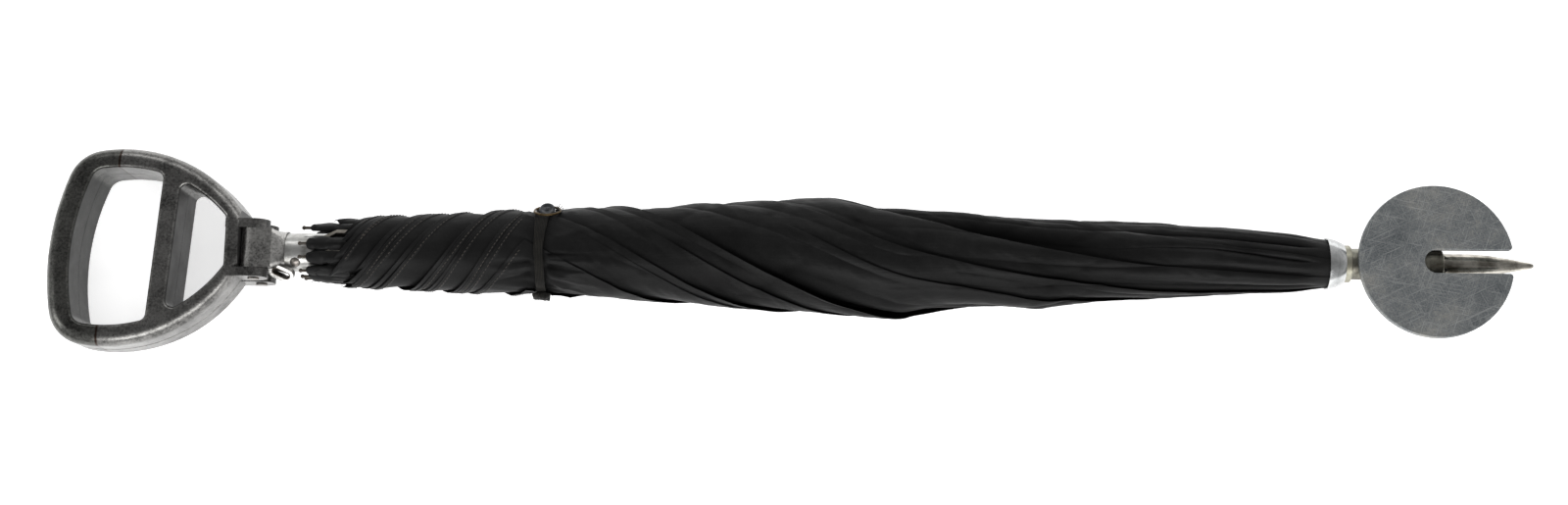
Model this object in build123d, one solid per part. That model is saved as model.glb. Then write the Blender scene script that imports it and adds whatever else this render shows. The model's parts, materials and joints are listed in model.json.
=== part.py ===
from build123d import *
from math import cos, pi, radians, sin, sqrt, tan
import os

# Umbrella seat stick: a walking umbrella with a folding seat handle and a folding ground disc.
# It lies on its side. X runs along the shaft, from the handle (-X) to the spike (+X).
# The shaft's centreline is at y = 0, z = axis_z, and the floor is z = 0. Sizes are in millimetres.

# ---- Seat handle: two cast halves that close face to face ----
seat_reach = 127.4  # hinge pin to the outside of the grip bow
seat_half_width = 62.1  # centreline to the widest point of the rim
seat_depth = 19.85  # thickness of one half
parting_gap = 0.3  # between the two closed halves
widest_from_pin = 86.2  # hinge pin to the widest point of the rim
side_radius = 92.0  # plan radius of the rim's two sides
inner_side_radius = 87.5  # the same on the openings' side, so that the rim thins towards the hinge
side_shift = 3.0  # the +Y side lies this far towards the hinge, the other as far towards the bow
seat_skew = 3.9  # turn of the crossbar, bow and seam away from square, degrees
bow_radius = 160.0  # plan radius of the grip bow
corner_radius = 25.0  # where the bow turns into a side
rim_width = 12.8  # width of the rim at its widest point
bow_width = 15.0  # width of the rim at the grip bow
inner_corner_radius = 9.0  # of the hand opening, at the bow
crossbar_fillet = 4.5  # between the crossbar and the rim
hub_fillet = 4.0  # of the small opening's corners at the hinge
crossbar_from_pin = 54.8  # hinge pin to the middle of the crossbar
crossbar_width = 11.4
hub_from_pin = 17.0  # hinge pin to the end of the small opening
bull_nose = 7.5  # rounding of the rim's outer edge
rim_edge = 2.2  # rounding of the openings' outer edges
parting_edge = 1.0  # rounding of the mating face's outer edge
seam_from_pin = 88.5  # hinge pin to the joint between frame and bow
spigot_d = 6.0  # peg that joins the bow to the frame
spigot_length = 8.0
spigot_clearance = 0.05

# ---- Seat hinges ----
hinge_rise = 10.5  # shaft centreline to each hinge pin
hinge_pin_d = 5.0
pin_clearance = 0.05  # radial, between a turning hole and its pin
ear_radius = 8.7
ear_thickness = 5.6
ear_side_clearance = 0.15  # between an ear and the head block
web_from_pin = 8.5  # hinge pin to the web that stops against the head block
stop_clearance = 0.2
pin_head_d = 7.0
pin_head_height = 0.7

# ---- Head casting ----
block_width = 24.5
block_length = 11.8  # hinge pin to the shoulder
neck_from_pin = 18.5  # hinge pin to the end of the tube
neck_d = 25.8
block_corner = 3.0
head_spigot_length = 34.0
eye_from_pin = 16.6  # hinge pin to the middle of the cord eye
eye_side = 13.5  # centreline to the middle of the cord eye, towards -Y
eye_rise = 7.0
eye_length = 16.0
eye_width = 8.8
eye_thickness = 5.0
eye_hole_length = 12.2
eye_hole_width = 5.0
eye_tilt = 33.0  # turn about the shaft, degrees
eye_slant = 27.0  # turn in its own plane, degrees
liner_wall = 0.6

# ---- Tube, end plug and spike ----
tube_d = 24.0
tube_wall = 1.2
tube_length = 653.0
slide_clearance = 0.1  # radial, of parts fitted into or onto the tube
rivet_d = 4.0
rivet_head_d = 6.4
rivet_head_height = 1.3
head_rivet_from_end = 6.5
rivet_flush = 0.3  # the plug's pin ends this far inside the tube's surface
ferrule_d = 23.0
ferrule_length = 4.0
plug_length = 40.0  # of the end plug inside the tube
end_shaft_d = 19.2
shaft_past_pivot = 5.7  # the end shaft goes on this far past the disc's pivot
spike_length = 56.5
spike_d = 13.8
spike_straight = 16.0  # length of the spike before its taper
spike_tip_d = 3.9
spike_thread_d = 8.0
spike_thread_length = 12.0

# ---- Ground disc ----
disc_d = 94.2
disc_thickness = 4.0
disc_from_ferrule = 3.2  # ferrule to the disc's edge
disc_slot_width = 14.4
disc_clearance = 0.15  # between the disc's back and the end shaft
disc_edge = 0.5
slot_rounding = 2.0  # of the slot's two corners at the disc's rim
lug_thickness = 4.4
lug_radius = 7.0
lug_root = 22.0  # length of a lug where it joins the disc
pivot_pin_d = 6.0
washer_thickness = 0.6
washer_d = 12.0

# ---- Ribs, stretchers and runner ----
rib_count = 8
tip_from_neck = 10.5  # end of the tube to the rib tips' balls
crown_to_tube_end = 15.0  # crown wire to the end of the tube
rib_width = 3.2
rib_height = 2.6
rib_wall = 0.5
rib_radius = 16.1  # shaft centreline to the middle of a closed rib
rib_end_radius = 13.15  # the same at the crown
rib_end_height = 1.4
rib_rise_length = 110.0  # from the crown to where the ribs lie parallel
first_rib_angle = 86.0  # degrees from +Z towards +Y
# Where each rib tip has settled under the wound cloth, in the same degrees
tip_angles = (64, 11, -19, -53, -75, -110, -166, -229)
tip_ball_d = 2.6
tip_stem_d = 1.9
tip_stem_length = 7.5
stretcher_share = 0.417  # length of a stretcher, as a share of a rib's
joint_share = 0.459  # crown wire to the joint on the rib, in the same way
stretcher_width = 1.6
stretcher_height = 1.8
stretcher_radius = 14.95
stretcher_end_radius = 13.85
stretcher_end_height = 0.8
runner_length = 56.0
runner_wall = 0.85
runner_bore_clearance = 0.25
runner_flange_length = 6.0
runner_flange_radius = 14.6
notch_length = 7.0
notch_radius = 14.4
notch_slot_floor = 12.35
slot_clearance = 0.2  # each side of a rib or stretcher in its slot
crown_wire_d = 0.6
runner_wire_d = 0.4
spring_thickness = 1.2
spring_length = 24.0
spring_rise = 1.4  # of a catch above the tube
spring_depth = 5.0
top_catch_from_crown = 70.0

# ---- Cloth ----
cloth_from_tip = 9.5  # rib tips' balls to the open end of the wound cloth
cloth_start = 3.5  # cloth begins this far outside the crown wire
cloth_steps = 30  # sections that the wound cloth is drawn through
# Wound cloth: share of its length from the crown, half width and height above the centreline
cloth_sections = (
    (0.0, 15.9, 15.9),
    (0.102, 21.4, 20.4),
    (0.215, 25.4, 23.0),
    (0.324, 28.4, 25.0),
    (0.417, 35.9, 31.0),
    (0.49, 37.3, 32.2),
    (0.634, 31.5, 27.6),
    (0.784, 27.2, 24.2),
    (0.891, 24.8, 22.0),
    (1.0, 19.1, 18.9),
)
cloth_gap = 0.3  # between the cloth and the ribs
strap_share = 0.776  # place of the strap along the wound cloth
strap_width = 7.0
strap_thickness = 1.2
strap_sink = 0.2  # the strap lies this much below the cloth around it
strap_gap = 0.2
button_d = 9.8
button_thickness = 2.2
button_lift = 0.55  # of the button's underside above the strap's inner face
button_hole_d = 1.3
button_hole_spacing = 2.6
fastener_angle = 66.0  # of button and ring, degrees from +Z towards +Y
fastener_shift = 3.0  # they sit this far from the strap's middle, towards the crown
ring_d = 17.4
ring_wire_d = 1.5
ring_lift = 0.8  # of the ring above the strap
keeper_angle = -103.0
keeper_length = 10.0
keeper_width = 9.0
keeper_thickness = 2.4

# ---- Collar at the crown ----
collar_length = 10.6
collar_mouth_d = 32.4
collar_end_d = 24.8
collar_wall = 1.0
collar_gap = 0.3

# ---- Derived places ----
axis_z = seat_depth + parting_gap / 2
pivot_from_ferrule = disc_from_ferrule + disc_d / 2
end_shaft_length = pivot_from_ferrule + shaft_past_pivot
overall = seat_reach + neck_from_pin + tube_length + ferrule_length + end_shaft_length + spike_length
x_bow = -overall / 2
x_pin = x_bow + seat_reach
x_neck = x_pin + neck_from_pin
x_tube_end = x_neck + tube_length
x_end_shaft = x_tube_end + ferrule_length
x_spike = x_end_shaft + end_shaft_length
x_tip = x_spike + spike_length
x_pivot = x_end_shaft + pivot_from_ferrule
x_crown = x_tube_end - crown_to_tube_end
rib_length = tube_length - crown_to_tube_end - tip_from_neck  # crown wire to the tip's ball
stretcher_length = rib_length * stretcher_share
stretcher_joint = rib_length * joint_share
cloth_length = cloth_start + rib_length - cloth_from_tip
x_seam = x_pin - seam_from_pin
z_pin = axis_z + hinge_rise
ear_inner = block_width / 2 + ear_side_clearance
ear_outer = ear_inner + ear_thickness
block_half_height = hinge_rise + web_from_pin - stop_clearance
knuckle_radius = web_from_pin - stop_clearance
tube_bore = tube_d - 2 * tube_wall
z_disc_back = axis_z + end_shaft_d / 2 + disc_clearance
lug_inner = end_shaft_d / 2 + disc_clearance
cloth_bore = rib_radius + rib_height / 2 + cloth_gap
cloth_bore_crown = notch_radius + cloth_gap
x_runner = x_crown - stretcher_joint - stretcher_length
x_widest = x_pin - widest_from_pin


def along_x(length, radius, start):
    """A round bar on the shaft's centreline that starts at x = start."""
    return Pos(start + length / 2, 0, axis_z) * Rot(0, 90, 0) * Cylinder(radius, length)


def along_y(radius, length, x, z):
    """A round bar across the shaft, centred on y = 0."""
    return Pos(x, 0, z) * Rot(90, 0, 0) * Cylinder(radius, length)


def slab(x_from, x_to, y_from, y_to, z_from, z_to):
    """A block between two corners."""
    middle = Pos((x_from + x_to) / 2, (y_from + y_to) / 2, (z_from + z_to) / 2)
    return middle * Box(x_to - x_from, y_to - y_from, z_to - z_from)


# ---- Seat halves ----


def skewed_oval(radius, half_width, bow_inset):
    """The area inside the two side arcs and the bow's arc, each in its skewed place."""
    offset = radius - half_width
    upper = Pos(x_widest + side_shift, -offset) * Circle(radius)
    lower_side = Pos(x_widest - side_shift, offset) * Circle(radius)
    bow_centre = Pos(x_bow + bow_radius, -bow_radius * tan(radians(seat_skew)))
    return upper & lower_side & bow_centre * Circle(bow_radius - bow_inset)


def opening_plan():
    """The plan area inside the rim."""
    return skewed_oval(inner_side_radius, seat_half_width - rim_width, bow_width)


def skewed_beyond(x, side):
    """The plan area on one side of a line across the handle, turned with the crossbar."""
    reach = 2 * seat_reach
    return Pos(x, 0) * Rot(0, 0, -seat_skew) * Pos(side * reach / 2, 0) * Rectangle(reach, 2 * reach)


def plan_stretch(x_from, x_to):
    """A plan area that is wider than the handle, between two stations."""
    return Pos((x_from + x_to) / 2, 0) * Rectangle(x_to - x_from, 4 * seat_half_width)


def hand_opening():
    """Plan of the large opening between the bow and the crossbar."""
    plan = opening_plan() & skewed_beyond(x_pin - crossbar_from_pin - crossbar_width / 2, -1)
    plan = fillet(plan.vertices().sort_by(Axis.X)[:2], inner_corner_radius)
    return fillet(plan.vertices().sort_by(Axis.X)[-2:], crossbar_fillet)


def small_opening():
    """Plan of the opening between the crossbar and the hinge."""
    plan = opening_plan() & skewed_beyond(x_pin - crossbar_from_pin + crossbar_width / 2, 1)
    plan = plan & plan_stretch(x_bow, x_pin - hub_from_pin)
    plan = fillet(plan.vertices().sort_by(Axis.X)[-2:], hub_fillet)
    return fillet(plan.vertices().sort_by(Axis.X)[:2], crossbar_fillet)


def seat_half():
    """One whole half, frame and bow together, without its ears."""
    plan = skewed_oval(side_radius, seat_half_width, 0)
    plan = fillet(plan.vertices().sort_by(Axis.X)[:2], corner_radius)
    plan = plan & plan_stretch(x_bow - 1, x_pin - web_from_pin)
    body = Pos(0, 0, axis_z + parting_gap / 2) * extrude(plan, seat_depth)
    end = x_pin - web_from_pin - 0.01
    top = body.faces().sort_by(Axis.Z)[-1]
    body = fillet([e for e in top.edges() if e.center().X < end], bull_nose)
    base = body.faces().sort_by(Axis.Z)[0]
    body = fillet([e for e in base.edges() if e.center().X < end], parting_edge)
    for opening in (hand_opening(), small_opening()):
        body -= Pos(0, 0, axis_z) * extrude(opening, 2 * seat_depth)
    top = body.faces().sort_by(Axis.Z)[-1]
    loops = [wire.edges() for wire in top.inner_wires()]
    return fillet([edge for loop in loops for edge in loop], rim_edge)


def ear():
    """One hinge ear, at +Y, with its pin hole left solid."""
    thick = ear_outer - ear_inner
    y = (ear_inner + ear_outer) / 2
    arm = Pos(x_pin - hub_from_pin / 2, y, z_pin) * Box(hub_from_pin, thick, 2 * ear_radius)
    eye = Pos(x_pin, y, z_pin) * Rot(90, 0, 0) * Cylinder(ear_radius, thick)
    return arm + eye


def spigot(extra):
    """The two pegs that join bow and frame, made larger all round by extra."""
    pegs = Part()
    y = seat_half_width - rim_width / 2
    z = axis_z + parting_gap / 2 + seat_depth / 2
    for side in (-y, y):
        peg = Rot(0, 90, 0) * Cylinder(spigot_d / 2 + extra, 2 * (spigot_length + extra))
        pegs = pegs + Pos(x_seam + side * tan(radians(seat_skew)), side, z) * peg
    return pegs


def seat_frame_upper():
    """The cast frame: rim sides, crossbar, web and the two ears."""
    frame = seat_half() & extrude(skewed_beyond(x_seam, 1), 4 * seat_depth)
    frame = frame + ear() + mirror(ear(), about=Plane.XZ)
    frame -= along_y(hinge_pin_d / 2 + pin_clearance, 4 * ear_outer, x_pin, z_pin)
    return frame - spigot(spigot_clearance)


def grip_bow_upper():
    """The bow that the hand holds, with its two spigots."""
    bow = seat_half() & extrude(skewed_beyond(x_seam, -1), 4 * seat_depth)
    return bow + spigot(0)


def lower(piece):
    """The same piece on the lower half."""
    return mirror(piece, about=Plane.XY.offset(axis_z))


def hinge_pin(z):
    """A hinge pin with a flat rivet head at each end."""
    length = 2 * (ear_outer + ear_side_clearance)
    pin = along_y(hinge_pin_d / 2, length, x_pin, z)
    for side in (-1, 1):
        y = side * (length + pin_head_height) / 2
        head = Pos(x_pin, y, z) * Rot(90, 0, 0) * Cylinder(pin_head_d / 2, pin_head_height)
        pin = pin + head
    return pin


# ---- Head ----


def eye_plane(shift):
    """The plane of the cord eye, moved along its normal."""
    tilt = radians(eye_tilt)
    slant = radians(eye_slant)
    normal = Vector(0, -sin(tilt), cos(tilt))
    run = Vector(cos(slant), -sin(slant) * cos(tilt), -sin(slant) * sin(tilt))
    centre = Vector(x_pin + eye_from_pin, -eye_side, axis_z + eye_rise)
    return Plane(centre + normal * shift, x_dir=run, z_dir=normal)


def eye_slot(length, width, thickness):
    """A bar of oblong section through the cord eye."""
    return extrude(eye_plane(-thickness / 2) * SlotOverall(length, width), thickness)


def head_casting():
    """The block between the ears, its shoulder, the spigot in the tube and the cord eye."""
    block = slab(x_pin - knuckle_radius, x_pin + block_length, -block_width / 2, block_width / 2,
                 axis_z - block_half_height, axis_z + block_half_height)
    ends = [e for e in block.edges().filter_by(Axis.Y) if e.center().X < x_pin]
    block = fillet(ends, knuckle_radius * 0.999)
    square = Plane.YZ.offset(x_pin + block_length) * Pos(0, axis_z)
    square = square * RectangleRounded(block_width, 2 * block_half_height, block_corner)
    circle = Plane.YZ.offset(x_neck) * Pos(0, axis_z) * Circle(neck_d / 2)
    head = block + loft([square, circle])
    head = head + along_x(head_spigot_length, tube_bore / 2 - slide_clearance, x_neck)
    eye = eye_slot(eye_length, eye_width, eye_thickness)
    head = head + (eye - along_x(tube_length, tube_d / 2 + slide_clearance, x_neck))
    head -= eye_slot(eye_hole_length, eye_hole_width, 2 * eye_thickness)
    for z in (z_pin, 2 * axis_z - z_pin):
        head -= along_y(hinge_pin_d / 2 + pin_clearance, 2 * block_width, x_pin, z)
    return head - rivet_shank(x_neck + head_rivet_from_end, pin_clearance)


def eye_liner():
    """The plated eyelet in the cord eye."""
    gap = 2 * pin_clearance
    sleeve = eye_slot(eye_hole_length - gap, eye_hole_width - gap, eye_thickness)
    wall = 2 * liner_wall + gap
    return sleeve - eye_slot(eye_hole_length - wall, eye_hole_width - wall, 2 * eye_thickness)


def rivet_shank(x, extra):
    """Shank of a rivet right through the tube, on the side towards -Y and up."""
    shank = Cylinder(rivet_d / 2 + extra, 2 * (tube_d + rivet_head_height))
    return Pos(x, 0, axis_z) * Rot(40, 0, 0) * shank


def tube_rivet(x):
    """A domed rivet through the tube."""
    shank = Cylinder(rivet_d / 2, tube_d + 2 * slide_clearance)
    rise = tube_d / 2 + slide_clearance
    radius = (rivet_head_d**2 / 4 + rivet_head_height**2) / (2 * rivet_head_height)
    cap = Pos(0, 0, rise + rivet_head_height - radius) * Sphere(radius)
    cap = cap & Pos(0, 0, rise + rivet_head_height / 2) * Cylinder(rivet_head_d, rivet_head_height)
    rivet = shank + cap + mirror(cap, about=Plane.XY)
    return Pos(x, 0, axis_z) * Rot(40, 0, 0) * rivet


# ---- Tube, end plug and spike ----


def catch_slot(x, extra):
    """The slot in the tube's upper side that a catch spring works through."""
    half = spring_thickness / 2 + extra
    return slab(x - extra, x + spring_length + extra, -half, half, axis_z, axis_z + tube_d)


def shaft_tube():
    """The long tube, with its two catch slots and rivet holes."""
    tube = along_x(tube_length, tube_d / 2, x_neck)
    tube -= along_x(tube_length, tube_bore / 2, x_neck)
    for x in catch_places():
        tube -= catch_slot(x, slot_clearance)
    for x in (x_neck + head_rivet_from_end, plug_pin_x()):
        tube -= rivet_shank(x, pin_clearance)
    return tube


def catch_places():
    """Where the two catch springs begin: one for the closed runner and one near the crown."""
    return (x_runner - runner_length + spring_length, x_crown - top_catch_from_crown)


def catch_spring(x):
    """A flat steel catch with a ramp that stands out of the tube."""
    z = axis_z + tube_d / 2
    outline = [(x, z - spring_depth), (x + spring_length, z - spring_depth),
               (x + spring_length, z - tube_wall), (x + spring_length * 0.8, z + spring_rise),
               (x, z - tube_wall)]
    profile = make_face(Polyline(*[(px, 0, pz) for px, pz in outline], close=True))
    return extrude(profile, spring_thickness / 2, both=True)


def plug_pin_x():
    """Station of the flush pin that holds the end plug."""
    return x_tube_end - plug_length * 0.75


def plug_pin():
    """The flush pin through the tube and the end plug."""
    pin = Cylinder(rivet_d / 2, tube_d - 2 * rivet_flush)
    return Pos(plug_pin_x(), 0, axis_z) * Rot(40, 0, 0) * pin


def end_plug():
    """The turned plug in the tube's end and the shaft that it carries."""
    plug = along_x(plug_length, tube_bore / 2 - slide_clearance, x_tube_end - plug_length)
    plug = plug + along_x(ferrule_length + end_shaft_length, end_shaft_d / 2, x_tube_end)
    rim = plug.edges().filter_by(GeomType.CIRCLE).sort_by(Axis.X)[-1]
    plug = chamfer(rim, disc_edge)
    flat = end_shaft_d / 2 - washer_thickness
    for side in (-1, 1):
        y = side * (flat + washer_thickness)
        seat = Pos(x_pivot, y, axis_z) * Rot(90, 0, 0) * Cylinder(washer_d / 2 + pin_clearance,
                                                                 2 * washer_thickness)
        plug -= seat
    plug -= along_y(pivot_pin_d / 2 + pin_clearance, 2 * end_shaft_d, x_pivot, axis_z)
    plug -= along_x(spike_thread_length, spike_thread_d / 2 + pin_clearance,
                    x_spike - spike_thread_length)
    return plug - rivet_shank(plug_pin_x(), pin_clearance)


def ferrule_ring():
    """The ring that closes the tube's end."""
    ring = along_x(ferrule_length, ferrule_d / 2, x_tube_end)
    rim = ring.edges().filter_by(GeomType.CIRCLE).sort_by(Axis.X)[-1]
    ring = chamfer(rim, disc_edge)
    return ring - along_x(ferrule_length, end_shaft_d / 2 + pin_clearance, x_tube_end)


def spike():
    """The ground spike: a short straight stretch, then a long rounded taper to a blunt tip."""
    base = spike_d / 2
    tip = spike_tip_d / 2
    x_taper = x_spike + spike_straight
    start = (x_spike, 0)
    side = Line((x_spike, base), (x_taper, base))
    slope = Spline((x_taper, base), (x_tip - tip, tip), tangents=[(1, 0), (1, -0.17)])
    nose = Line((x_tip - tip, tip), (x_tip, tip * 0.6))
    close = Polyline((x_tip, tip * 0.6), (x_tip, 0), start, (x_spike, base))
    profile = make_face(side + slope + nose + close)
    body = Pos(0, 0, axis_z) * revolve(profile, Axis.X)
    thread = along_x(spike_thread_length, spike_thread_d / 2, x_spike - spike_thread_length)
    return body + thread - along_y(pivot_pin_d / 2 + pin_clearance, end_shaft_d, x_pivot, axis_z)


# ---- Ground disc ----


def disc_lug():
    """One lug on the back of the disc, at +Y, rounded about the pivot."""
    y = lug_inner + lug_thickness / 2
    end = Pos(x_pivot, y, axis_z) * Rot(90, 0, 0) * Cylinder(lug_radius, lug_thickness)
    outline = [(x_pivot - lug_root / 2, z_disc_back), (x_pivot + lug_root / 2, z_disc_back),
               (x_pivot + lug_radius, axis_z), (x_pivot - lug_radius, axis_z)]
    profile = make_face(Polyline(*[(px, y, pz) for px, pz in outline], close=True))
    return end + extrude(profile, lug_thickness / 2, both=True)


def ground_disc():
    """The slotted disc with its two lugs."""
    radius = disc_d / 2
    plan = Circle(radius) - Circle(disc_slot_width / 2)
    plan -= Pos(radius, 0) * Rectangle(2 * radius, disc_slot_width)
    disc = Pos(x_pivot, 0, z_disc_back) * extrude(plan, disc_thickness)
    corners = [e for e in disc.edges().filter_by(Axis.Z) if e.center().X > x_pivot + radius / 2]
    disc = fillet(corners, slot_rounding)
    top = disc.faces().sort_by(Axis.Z)[-1]
    disc = chamfer(top.edges(), disc_edge)
    disc = disc + disc_lug() + mirror(disc_lug(), about=Plane.XZ)
    return disc - along_y(pivot_pin_d / 2 + pin_clearance, disc_d, x_pivot, axis_z)


def disc_pivot_pin():
    """The pin that the disc turns on, with a low head at each end."""
    length = 2 * (lug_inner + lug_thickness + pin_clearance)
    pin = along_y(pivot_pin_d / 2, length, x_pivot, axis_z)
    for side in (-1, 1):
        y = side * (length + pin_head_height) / 2
        head = Rot(90, 0, 0) * Cylinder(pin_head_d * 0.6, pin_head_height)
        pin = pin + Pos(x_pivot, y, axis_z) * head
    return pin


def disc_washers():
    """The two washers between the lugs and the end shaft."""
    pair = Part()
    for side in (-1, 1):
        y = side * (end_shaft_d / 2 - washer_thickness / 2 + pin_clearance)
        ring = Cylinder(washer_d / 2, washer_thickness) - Cylinder(
            pivot_pin_d / 2 + pin_clearance, washer_thickness)
        pair = pair + Pos(x_pivot, y, axis_z) * Rot(90, 0, 0) * ring
    return pair


# ---- Ribs, stretchers and runner ----


def rib_angle(index):
    """Angle of a rib at the crown and the runner."""
    return first_rib_angle - index * 360 / rib_count


def station(x, radius, angle):
    """A plane across a rib: its x runs round the shaft and its y runs outwards."""
    turn = radians(angle)
    origin = (x, radius * sin(turn), axis_z + radius * cos(turn))
    return Plane(origin, x_dir=(0, cos(turn), -sin(turn)), z_dir=(1, 0, 0))


def channel(height):
    """Section of a rib: a channel that is open towards the shaft."""
    w = rib_width / 2
    h = height / 2
    inside = w - rib_wall
    floor = h - rib_wall
    return [(-w, -h), (-w, h), (w, h), (w, -h), (inside, -h), (inside, floor), (-inside, floor),
            (-inside, -h)]


def section(plane, points):
    """A closed section on a plane."""
    return plane * make_face(Polyline(*points, close=True))


def rib(index):
    """One rib from its end in the crown notch to its tip."""
    angle = rib_angle(index)
    x_tip_end = x_crown - rib_length + tip_ball_d / 2 + tip_stem_length
    places = [
        (x_crown + rib_end_height, rib_end_radius, angle, rib_end_height),
        (x_crown - notch_length, rib_end_radius, angle, rib_end_height),
        (x_crown - rib_rise_length, rib_radius, angle, rib_height),
        (x_runner - runner_length, rib_radius, angle, rib_height),
        (x_tip_end, rib_radius, tip_angles[index], rib_height),
    ]
    faces = [section(station(x, r, a), channel(h)) for x, r, a, h in places]
    return loft(faces, ruled=True)


def rib_tip(index):
    """The plated tip on a rib's end: a stem with a ball."""
    plane = station(x_crown - rib_length, rib_radius, tip_angles[index])
    stem_length = tip_ball_d / 2 + tip_stem_length
    stem = plane * Pos(0, 0, stem_length / 2) * Cylinder(tip_stem_d / 2, stem_length)
    return stem + plane * Sphere(tip_ball_d / 2)


def stretcher(index):
    """One stretcher, nested in its rib."""
    angle = rib_angle(index)
    places = [
        (x_runner - runner_flange_length / 2, stretcher_end_radius, stretcher_end_height),
        (x_runner + runner_flange_length / 2, stretcher_end_radius, stretcher_end_height),
        (x_runner + 4 * runner_flange_length, stretcher_radius, stretcher_height),
        (x_crown - stretcher_joint, stretcher_radius, stretcher_height),
    ]
    faces = [station(x, r, angle) * Rectangle(stretcher_width, h) for x, r, h in places]
    return loft(faces, ruled=True)


def slots(x_from, x_to, width, floor, outside):
    """The rib_count slots in a notched ring, as one cutter."""
    cutter = Part()
    for index in range(rib_count):
        plane = station(x_from, (floor + outside) / 2, rib_angle(index))
        depth = outside - floor
        cutter = cutter + plane * Pos(0, 0, (x_to - x_from) / 2) * Box(width, depth, x_to - x_from)
    return cutter


def crown_notch():
    """The notched ring that the ribs hinge in, with a groove for its wire."""
    x_from = x_crown - notch_length / 2
    ring = along_x(notch_length, notch_radius, x_from)
    ring -= along_x(notch_length, tube_d / 2 + slide_clearance / 2, x_from)
    width = rib_width + 2 * slot_clearance
    ring -= slots(x_from - 1, x_from + notch_length + 1, width, notch_slot_floor, notch_radius + 1)
    groove = along_x(2 * crown_wire_d, notch_radius + 1, x_crown - crown_wire_d)
    groove -= along_x(2 * crown_wire_d, rib_end_radius + rib_end_height / 2, x_crown - crown_wire_d)
    return ring - groove


def wire_ring(x, radius, wire_d):
    """A ring of fine wire round the shaft."""
    place = Plane.XZ * Pos(x, radius)
    ring = revolve(place * RegularPolygon(wire_d / 2, 8), Axis.X)
    return Pos(0, 0, axis_z) * ring


def crown_wire():
    """The wire that keeps the ribs in the crown notch."""
    return wire_ring(x_crown, rib_end_radius + (rib_end_height + crown_wire_d) / 2 + 0.05, crown_wire_d)


def runner():
    """The sleeve that slides on the tube, with a slotted flange for the stretchers."""
    bore = tube_d / 2 + runner_bore_clearance
    x_from = x_runner - runner_length + runner_flange_length / 2
    sleeve = along_x(runner_length, bore + runner_wall, x_from)
    x_flange = x_runner - runner_flange_length / 2
    flange = along_x(runner_flange_length, runner_flange_radius, x_flange)
    width = stretcher_width + 2 * slot_clearance
    floor = stretcher_end_radius - stretcher_end_height / 2 - slot_clearance / 2
    flange -= slots(x_flange - 1, x_flange + runner_flange_length + 1, width, floor,
                    runner_flange_radius + 1)
    groove = along_x(4 * runner_wire_d, runner_flange_radius + 1, x_runner - 2 * runner_wire_d)
    groove -= along_x(4 * runner_wire_d, stretcher_end_radius + stretcher_end_height / 2,
                      x_runner - 2 * runner_wire_d)
    body = sleeve + (flange - groove)
    body -= along_x(runner_length, bore, x_from)
    return body - catch_slot(catch_places()[0], slot_clearance)


def runner_wire():
    """The wire that keeps the stretchers in the runner."""
    rise = stretcher_end_radius + (stretcher_end_height + runner_wire_d) / 2
    return wire_ring(x_runner, rise + 0.03, runner_wire_d)


# ---- Cloth ----


def cloth_section(x, half_width, height):
    """An oval section of the wound cloth."""
    return Plane.YZ.offset(x) * Pos(0, axis_z) * Ellipse(half_width, height)


def cloth_size(share):
    """Half width and height of the wound cloth at a share of its length from the crown."""
    last = len(cloth_sections) - 2
    index = max(i for i in range(last + 1) if i == 0 or cloth_sections[i][0] <= share)
    low = cloth_sections[index]
    high = cloth_sections[index + 1]
    before = cloth_sections[max(index - 1, 0)]
    after = cloth_sections[min(index + 2, last + 1)]
    span = high[0] - low[0]
    t = (share - low[0]) / span
    size = []
    for k in (1, 2):
        slope_low = (high[k] - before[k]) / (high[0] - before[0]) * span
        slope_high = (after[k] - low[k]) / (after[0] - low[0]) * span
        rise = (2 * t**3 - 3 * t**2 + 1) * low[k] + (3 * t**2 - 2 * t**3) * high[k]
        size.append(rise + (t**3 - 2 * t**2 + t) * slope_low + (t**3 - t**2) * slope_high)
    return size


def wound_cloth():
    """The wound cloth as a full body, before it is hollowed and flattened."""
    shares = [index / cloth_steps for index in range(cloth_steps + 1)]
    x_start = x_crown + cloth_start
    return loft([cloth_section(x_start - cloth_length * s, *cloth_size(s)) for s in shares])


def oval_band(inset, width, x):
    """A stretch of the wound cloth at the strap, made smaller all round by inset."""
    half_width, height = cloth_size(strap_share)
    oval = cloth_section(x - width / 2, half_width - inset, height - inset)
    bar = extrude(oval, width)
    return bar & slab(x - width, x + width, -seat_reach, seat_reach, inset, 2 * seat_reach)


def strap_x():
    """Station of the tie strap."""
    return x_crown + cloth_start - cloth_length * strap_share


def canopy():
    """The wound cloth, flattened where it rests, open along the shaft, and nipped by the strap."""
    x_start = x_crown + cloth_start
    x_open = x_start - cloth_length
    cloth = wound_cloth() & slab(x_open, x_start, -seat_reach, seat_reach, 0, 2 * seat_reach)
    cloth -= along_x(x_start - x_open, cloth_bore_crown, x_open)
    length = x_crown - rib_rise_length - x_open
    cloth -= along_x(length, cloth_bore, x_open)
    cone = Cone(cloth_bore, cloth_bore_crown, rib_rise_length)
    cloth -= Pos(x_crown - rib_rise_length / 2, 0, axis_z) * Rot(0, 90, 0) * cone
    width = strap_width + 2 * strap_gap
    x = strap_x()
    nip = slab(x - width / 2, x + width / 2, -seat_reach, seat_reach, -1, 2 * seat_reach)
    nip -= oval_band(strap_sink + strap_thickness + strap_gap, width, x)
    return cloth - nip


def tie_strap():
    """The cloth strap round the bundle."""
    band = oval_band(strap_sink, strap_width, strap_x())
    return band - oval_band(strap_sink + strap_thickness, strap_width, strap_x())


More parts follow.
